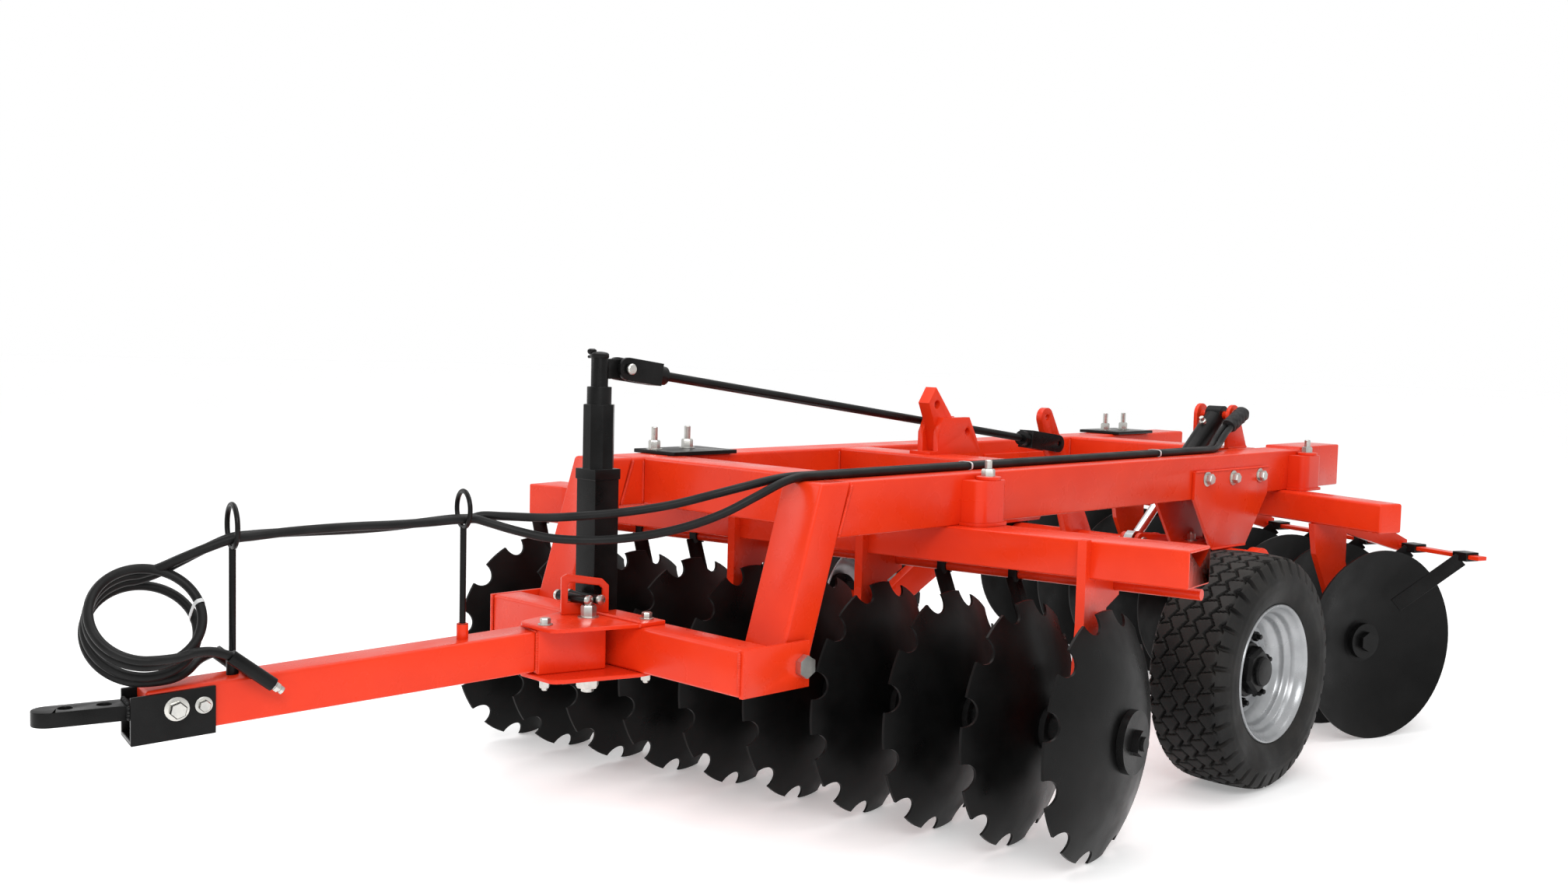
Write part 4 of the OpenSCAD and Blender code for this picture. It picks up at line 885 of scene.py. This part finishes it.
bolts("channel_bolts", "drawbar", [
    (on_tongue(side * CHANNEL_FACE, ahead, z), side * TONGUE_SIDE, across)
    for side in (1, -1) for ahead, z, across in CHANNEL_BOLTS
])
studs("swing_bolt", "drawbar", [
    (at(*SWING_BOLT[:2], FAN_TOP), Z, 36, 10), (at(*SWING_BOLT[:2], FAN_FOOT), -Z, 55, 12),
])
bolts("fan_bolts", "drawbar", [(at(x, y, FAN_TOP), Z, 24) for x, y in FAN_BOLTS])
studs("fan_nuts", "drawbar", [(at(x, y, FAN_FOOT), -Z, 24, 8) for x, y in FAN_BOLTS])
CLAMP_ALONG, CLAMP_BACK, CLAMP_Z = 97, 164, 720
studs("scraper_bolts", "frame", [
    (on_gang(FRONT_GANG, -k * DISC_PITCH - CLAMP_ALONG, CLAMP_BACK, CLAMP_Z),
     gang_axis(FRONT_GANG), 20, 6)
    for k in range(DISC_COUNT)
])


def clevis_pin(name, body, centre, axis, reach, r):
    """The two ends of a pin across a clevis: a domed head and a plain tail."""
    shape = Shape()
    tip, tail = centre + axis * reach / 1000, centre - axis * reach / 1000
    shape.lathe([(r * 1.5, 0), (r * 1.5, 6), (r * 1.2, 9), (2, 10)], tip, axis, 24)
    shape.lathe([(r, 0), (r, 10), (r * 0.8, 12)], tail, -axis, 24)
    piece(name, shape, body, "zinc")


clevis_pin("post_pin", "level_rod", at(*POST_EYE), X, 37, 10)
clevis_pin("lever_pin", "rockshaft", at(*LEVER_EYE), X, 42, 12)
clevis_pin("arch_pin", "frame", at(*CYLINDER_PIN), X, 72, 15)

# %% [markdown]
# ## Welds
# A bead runs wherever two painted tubes or plates meet and can be seen.

# %% Welds


def welds(name, body, runs, material="weld", r=4.0):
    shape = Shape()
    for a, b in runs:
        shape.weld(a, b, r)
    piece(name, shape, body, material)


LEG_LEAN = math.tan(math.radians(17.4))
LEG_DEPTH = 110
CROSS_EDGES = (150, 290, 1010, 1150, 2360, 2500)


def mitre(x):
    """The bead where a leaning leg meets its beam."""
    bottom = LEG_DEPTH - (BEAM_TOP - BEAM_BOTTOM) * LEG_LEAN
    return at(x, LEG_DEPTH + 2, BEAM_TOP - 8), at(x, bottom + 2, BEAM_BOTTOM + 8)


welds("leg_welds", "frame", [mitre(x) for x in (OUTER_X, INNER_X, -OUTER_X, -INNER_X)])
welds("cross_welds", "frame", [
    (at(side * INNER_X, y, BEAM_TOP - 10), at(side * INNER_X, y, BEAM_BOTTOM + 10))
    for y in CROSS_EDGES for side in (-1, 1)
])
YOKE_RUNS = [(513, -282), (-513, -282), (513, -180), (-513, -180)]
welds("fan_welds", "drawbar", [
    (at(142, -282, FAN_TOP), at(142, -282, FAN_TOP - 10)),
    (at(-140, -280, FAN_TOP + 2), at(140, -280, FAN_TOP + 2)),
    (on_tongue(52, 168, 585), on_tongue(52, 168, 482)),
    (on_tongue(-52, 168, 585), on_tongue(-52, 168, 482)),
    (on_tongue(-48, 168, 586), on_tongue(48, 168, 586)),
] + [(at(x, y, 480), at(x, y, 588)) for x, y in YOKE_RUNS])
welds("hitch_welds", "drawbar", [
    (on_tongue(-37, 1137, 500), on_tongue(37, 1137, 500)),
    (on_tongue(39, 1137, 464), on_tongue(39, 1137, 498)),
], "black_weld", 5)
welds("arch_welds", "frame", [
    (at(x, 2362, BEAM_TOP + 1), at(x, 2498, BEAM_TOP + 1)) for x in (177, 193, 307, 323)
])
BRACKET_RUNS = [(1801, 2298, 932), (1926, 2155, 665)]
welds("bracket_welds", "frame", [
    (at(side * BRACKET_FACE, front, z), at(side * BRACKET_FACE, rear, z))
    for side in (-1, 1) for front, rear, z in BRACKET_RUNS
], r=3.5)

# %% [markdown]
# ## Small fittings
# The wrapped bundle at the cylinder, the ties, the lift cylinder's ports, the caps of the spare
# pins and of the levelling post, and the collar of the rear hose stand.

# %% Small fittings


def hose_bundle():
    """r(t, a) = 27.4 mm + 0.9 sin(3 a + 34 t) + 0.5 sin(5 a - 21 t): folds that wind round it."""
    start, end = at(*BUNDLE_TOP), at(*BUNDLE_FOOT)
    t, a = np.meshgrid(np.linspace(0, 1, 60), np.arange(72) * 2 * math.pi / 72, indexing="ij")
    u, v, _ = basis(end - start)
    fold = 0.9 * np.sin(3 * a + 34 * t) + 0.5 * np.sin(5 * a - 21 * t)
    taper = 1 - 0.10 * np.clip((t - 0.86) / 0.14, 0, 1) - 0.08 * np.clip((0.08 - t) / 0.08, 0, 1)
    r = (27.4 + fold) * taper / 1000
    p = (start + t[..., None] * (end - start)
         + r[..., None] * (np.cos(a)[..., None] * u + np.sin(a)[..., None] * v))
    shape = Shape()
    shape.grid(p, caps=True)
    made = piece("bundle_wrap", shape, "frame", "wrap")
    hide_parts("hose_bundle")


def tie(name, body, centre, along, wide, half_w, half_h, length=6):
    """A clear band round two hoses: a rounded ring, wide across them and thin."""
    along = np.asarray(along, float) / np.linalg.norm(along)
    high = np.cross(along, wide)
    a = np.arange(48) * 2 * math.pi / 48
    c, s = np.cos(a), np.sin(a)
    x = half_w * np.sign(c) * np.abs(c) ** 0.6
    y = half_h * np.sign(s) * np.abs(s) ** 0.6
    rows = []
    for shift, grow in ((-length / 2, 0), (-length / 2, 1.4), (length / 2, 1.4), (length / 2, 0)):
        across = (x * (1 + grow / half_w))[:, None] * wide
        upward = (y * (1 + grow / half_h))[:, None] * high
        rows.append(np.asarray(centre) + (across + upward + shift * along) / 1000)
    shape = Shape()
    shape.grid(np.array(rows), close_u=True)
    piece(name, shape, body, "clear_tie")


def cylinder_fittings():
    """Port bosses, hose nipples and the gland ring of the lift cylinder."""
    down = np.subtract(LEVER_EYE, CYLINDER_PIN)
    down /= np.linalg.norm(down)
    side = np.cross(X, down)
    pin = at(*CYLINDER_PIN)
    shape = Shape()
    for reach in (90, 380):
        place = pin + down * reach / 1000 - side * 0.037
        shape.lathe([(13, -4), (13, 10), (11, 12), (8, 13), (8, 26)], place, -side, 24)
    piece("cylinder_ports", shape, "cylinder_barrel", "zinc")
    ring = Shape()
    place = pin + down * 0.430
    ring.lathe([(30, 0), (30, 4), (24, 6), (19, 6)], place, down, 48)
    piece("cylinder_gland", ring, "cylinder_barrel", "zinc")


hose_bundle()
BETWEEN_HOSES = 419.5
ON_HOSES_Z = 993.5
tie("beam_tie", "frame", at(BETWEEN_HOSES, 690, ON_HOSES_Z), Y, X, 25, 11.6)
tie("beam_tie_rear", "frame", at(BETWEEN_HOSES, 1700, ON_HOSES_Z), Y, X, 25, 11.6)
COIL_TIE_AT = math.radians(372)
tie("coil_tie", "drawbar", coil_point(COIL_TIE_AT, 0)[0],
    coil_point(COIL_TIE_AT + 0.1, 0)[0] - coil_point(COIL_TIE_AT - 0.1, 0)[0],
    COIL_AXIS, 46, 11.8, 9)
cylinder_fittings()


STORED_PIN_HALF = 60
STORED_PINS_AT = (34, 66)
STORED_PIN_WAY = np.array([0.998, 0.059, 0])
STORED_ROW_WAY = np.array([0.368, 0.930, 0])


def stored_pin_ends():
    """Bright caps on both ends of the two spare pins."""
    shape = Shape()
    for reach in STORED_PINS_AT:
        for end in (-STORED_PIN_WAY, STORED_PIN_WAY):
            tip = at(*PIN_ROW) + (reach * STORED_ROW_WAY + STORED_PIN_HALF * end) / 1000
            shape.lathe([(12.6, -3), (14, -2), (14, 5), (10, 8), (3, 9)], tip, end, 24)
    piece("stored_pin_ends", shape, "drawbar", "zinc")


def stand_ferrule():
    """A red collar where the rear hose stand leaves the tongue."""
    shape = Shape()
    shape.lathe([(14.2, 0), (14.6, 1), (14.6, 38), (13, 41), (9, 41)],
                on_tongue(0, STAND_FOOT_AHEAD, STAND_FOOT_REAR), Z, 32)
    piece("stand_ferrule", shape, "drawbar", "red_paint")


def post_cap():
    """A turned cap on the levelling post, with a knob at its side."""
    place = at(*POST_TOP)
    shape = Shape()
    shape.lathe([(24, -6), (25, -4), (25, 4), (21, 8), (12, 10), (6, 11)], place, Z, 40)
    knob = at(POST_TOP[0] - 26, POST_TOP[1] - 6, POST_TOP[2] - 4)
    shape.lathe([(6, 0), (6, 6), (11, 9), (13, 14), (12, 19), (7, 22)], knob, Z, 24)
    shape.lathe([(4, -14), (4, 26)], knob, X, 16)
    piece("post_cap", shape, "drawbar", "black_paint")


stored_pin_ends()
stand_ferrule()
post_cap()

# %% [markdown]
# ## Room and light
# A pale floor out to the horizon, one broad light from the front left, a weaker one from the
# right, one above, and a white sky.

# %% Stage
FLOOR_RINGS = (0.01, 3, 8, 20, 60)


def lay_floor():
    """p(i, a) = centre + d_i (cos a, sin a): a round floor, wide enough to reach the horizon."""
    distance = np.array(FLOOR_RINGS)[:, None]
    angle = np.arange(48) * 2 * math.pi / 48
    ring = np.stack([np.cos(angle), np.sin(angle), 0 * angle], 1)
    shape = Shape()
    shape.grid(at(0, 1200, 0) + distance[..., None] * ring, caps=False)
    mesh = bpy.data.meshes.new("floor")
    mesh.from_pydata(np.concatenate(shape.points).tolist(), [], shape.faces)
    floor = bpy.data.objects.new("floor", mesh)
    bpy.context.scene.collection.objects.link(floor)
    pale = finish("pale_floor", (0.90, 0.90, 0.90), (0.88, 0.88, 0.88), drift=1, grain=30,
                  height=0.02, smooth=0.6, rough=0.8)
    shader = pale.node_tree.nodes["Principled BSDF"]
    shader.inputs["Emission Color"].default_value = (1.0, 1.0, 1.0, 1.0)
    shader.inputs["Emission Strength"].default_value = 0.28
    mesh.materials.append(pale)


def area_light(name, place, target, size, power):
    light = bpy.data.lights.new(name, "AREA")
    light.shape = "RECTANGLE"
    light.size, light.size_y = size
    light.energy = power
    lamp = bpy.data.objects.new(name, light)
    place, target = Vector(place), Vector(target)
    lamp.location = place
    lamp.rotation_mode = "QUATERNION"
    lamp.rotation_quaternion = (target - place).to_track_quat("-Z", "Y")
    bpy.context.scene.collection.objects.link(lamp)


def make_world():
    """A white sky, a little weaker as a light than it looks to the camera."""
    world = bpy.data.worlds.new("sky")
    world.use_nodes = True
    tree = world.node_tree
    shade = tree.nodes["Background"]
    shade.inputs["Color"].default_value = (1.0, 1.0, 1.0, 1.0)
    rays = node(tree, "ShaderNodeLightPath")
    power = node(tree, "ShaderNodeMapRange")
    power.inputs["To Min"].default_value = 0.80
    power.inputs["To Max"].default_value = 1.0
    tree.links.new(rays.outputs["Is Camera Ray"], power.inputs["Value"])
    tree.links.new(power.outputs["Result"], shade.inputs["Strength"])
    bpy.context.scene.world = world


lay_floor()
middle = at(-100, 1200, 600)
area_light("key", at(4200, -3600, 4600), middle, (3.0, 2.5), 190)
area_light("fill", at(-4200, -2600, 3200), middle, (3.0, 2.5), 45)
area_light("top", at(0, 1200, 5200), middle, (4.0, 5.0), 130)
make_world()
scene = bpy.context.scene
scene.view_settings.view_transform = "Standard"
scene.view_settings.look = "None"
scene.render.engine = "CYCLES"
scene.cycles.max_bounces = 6
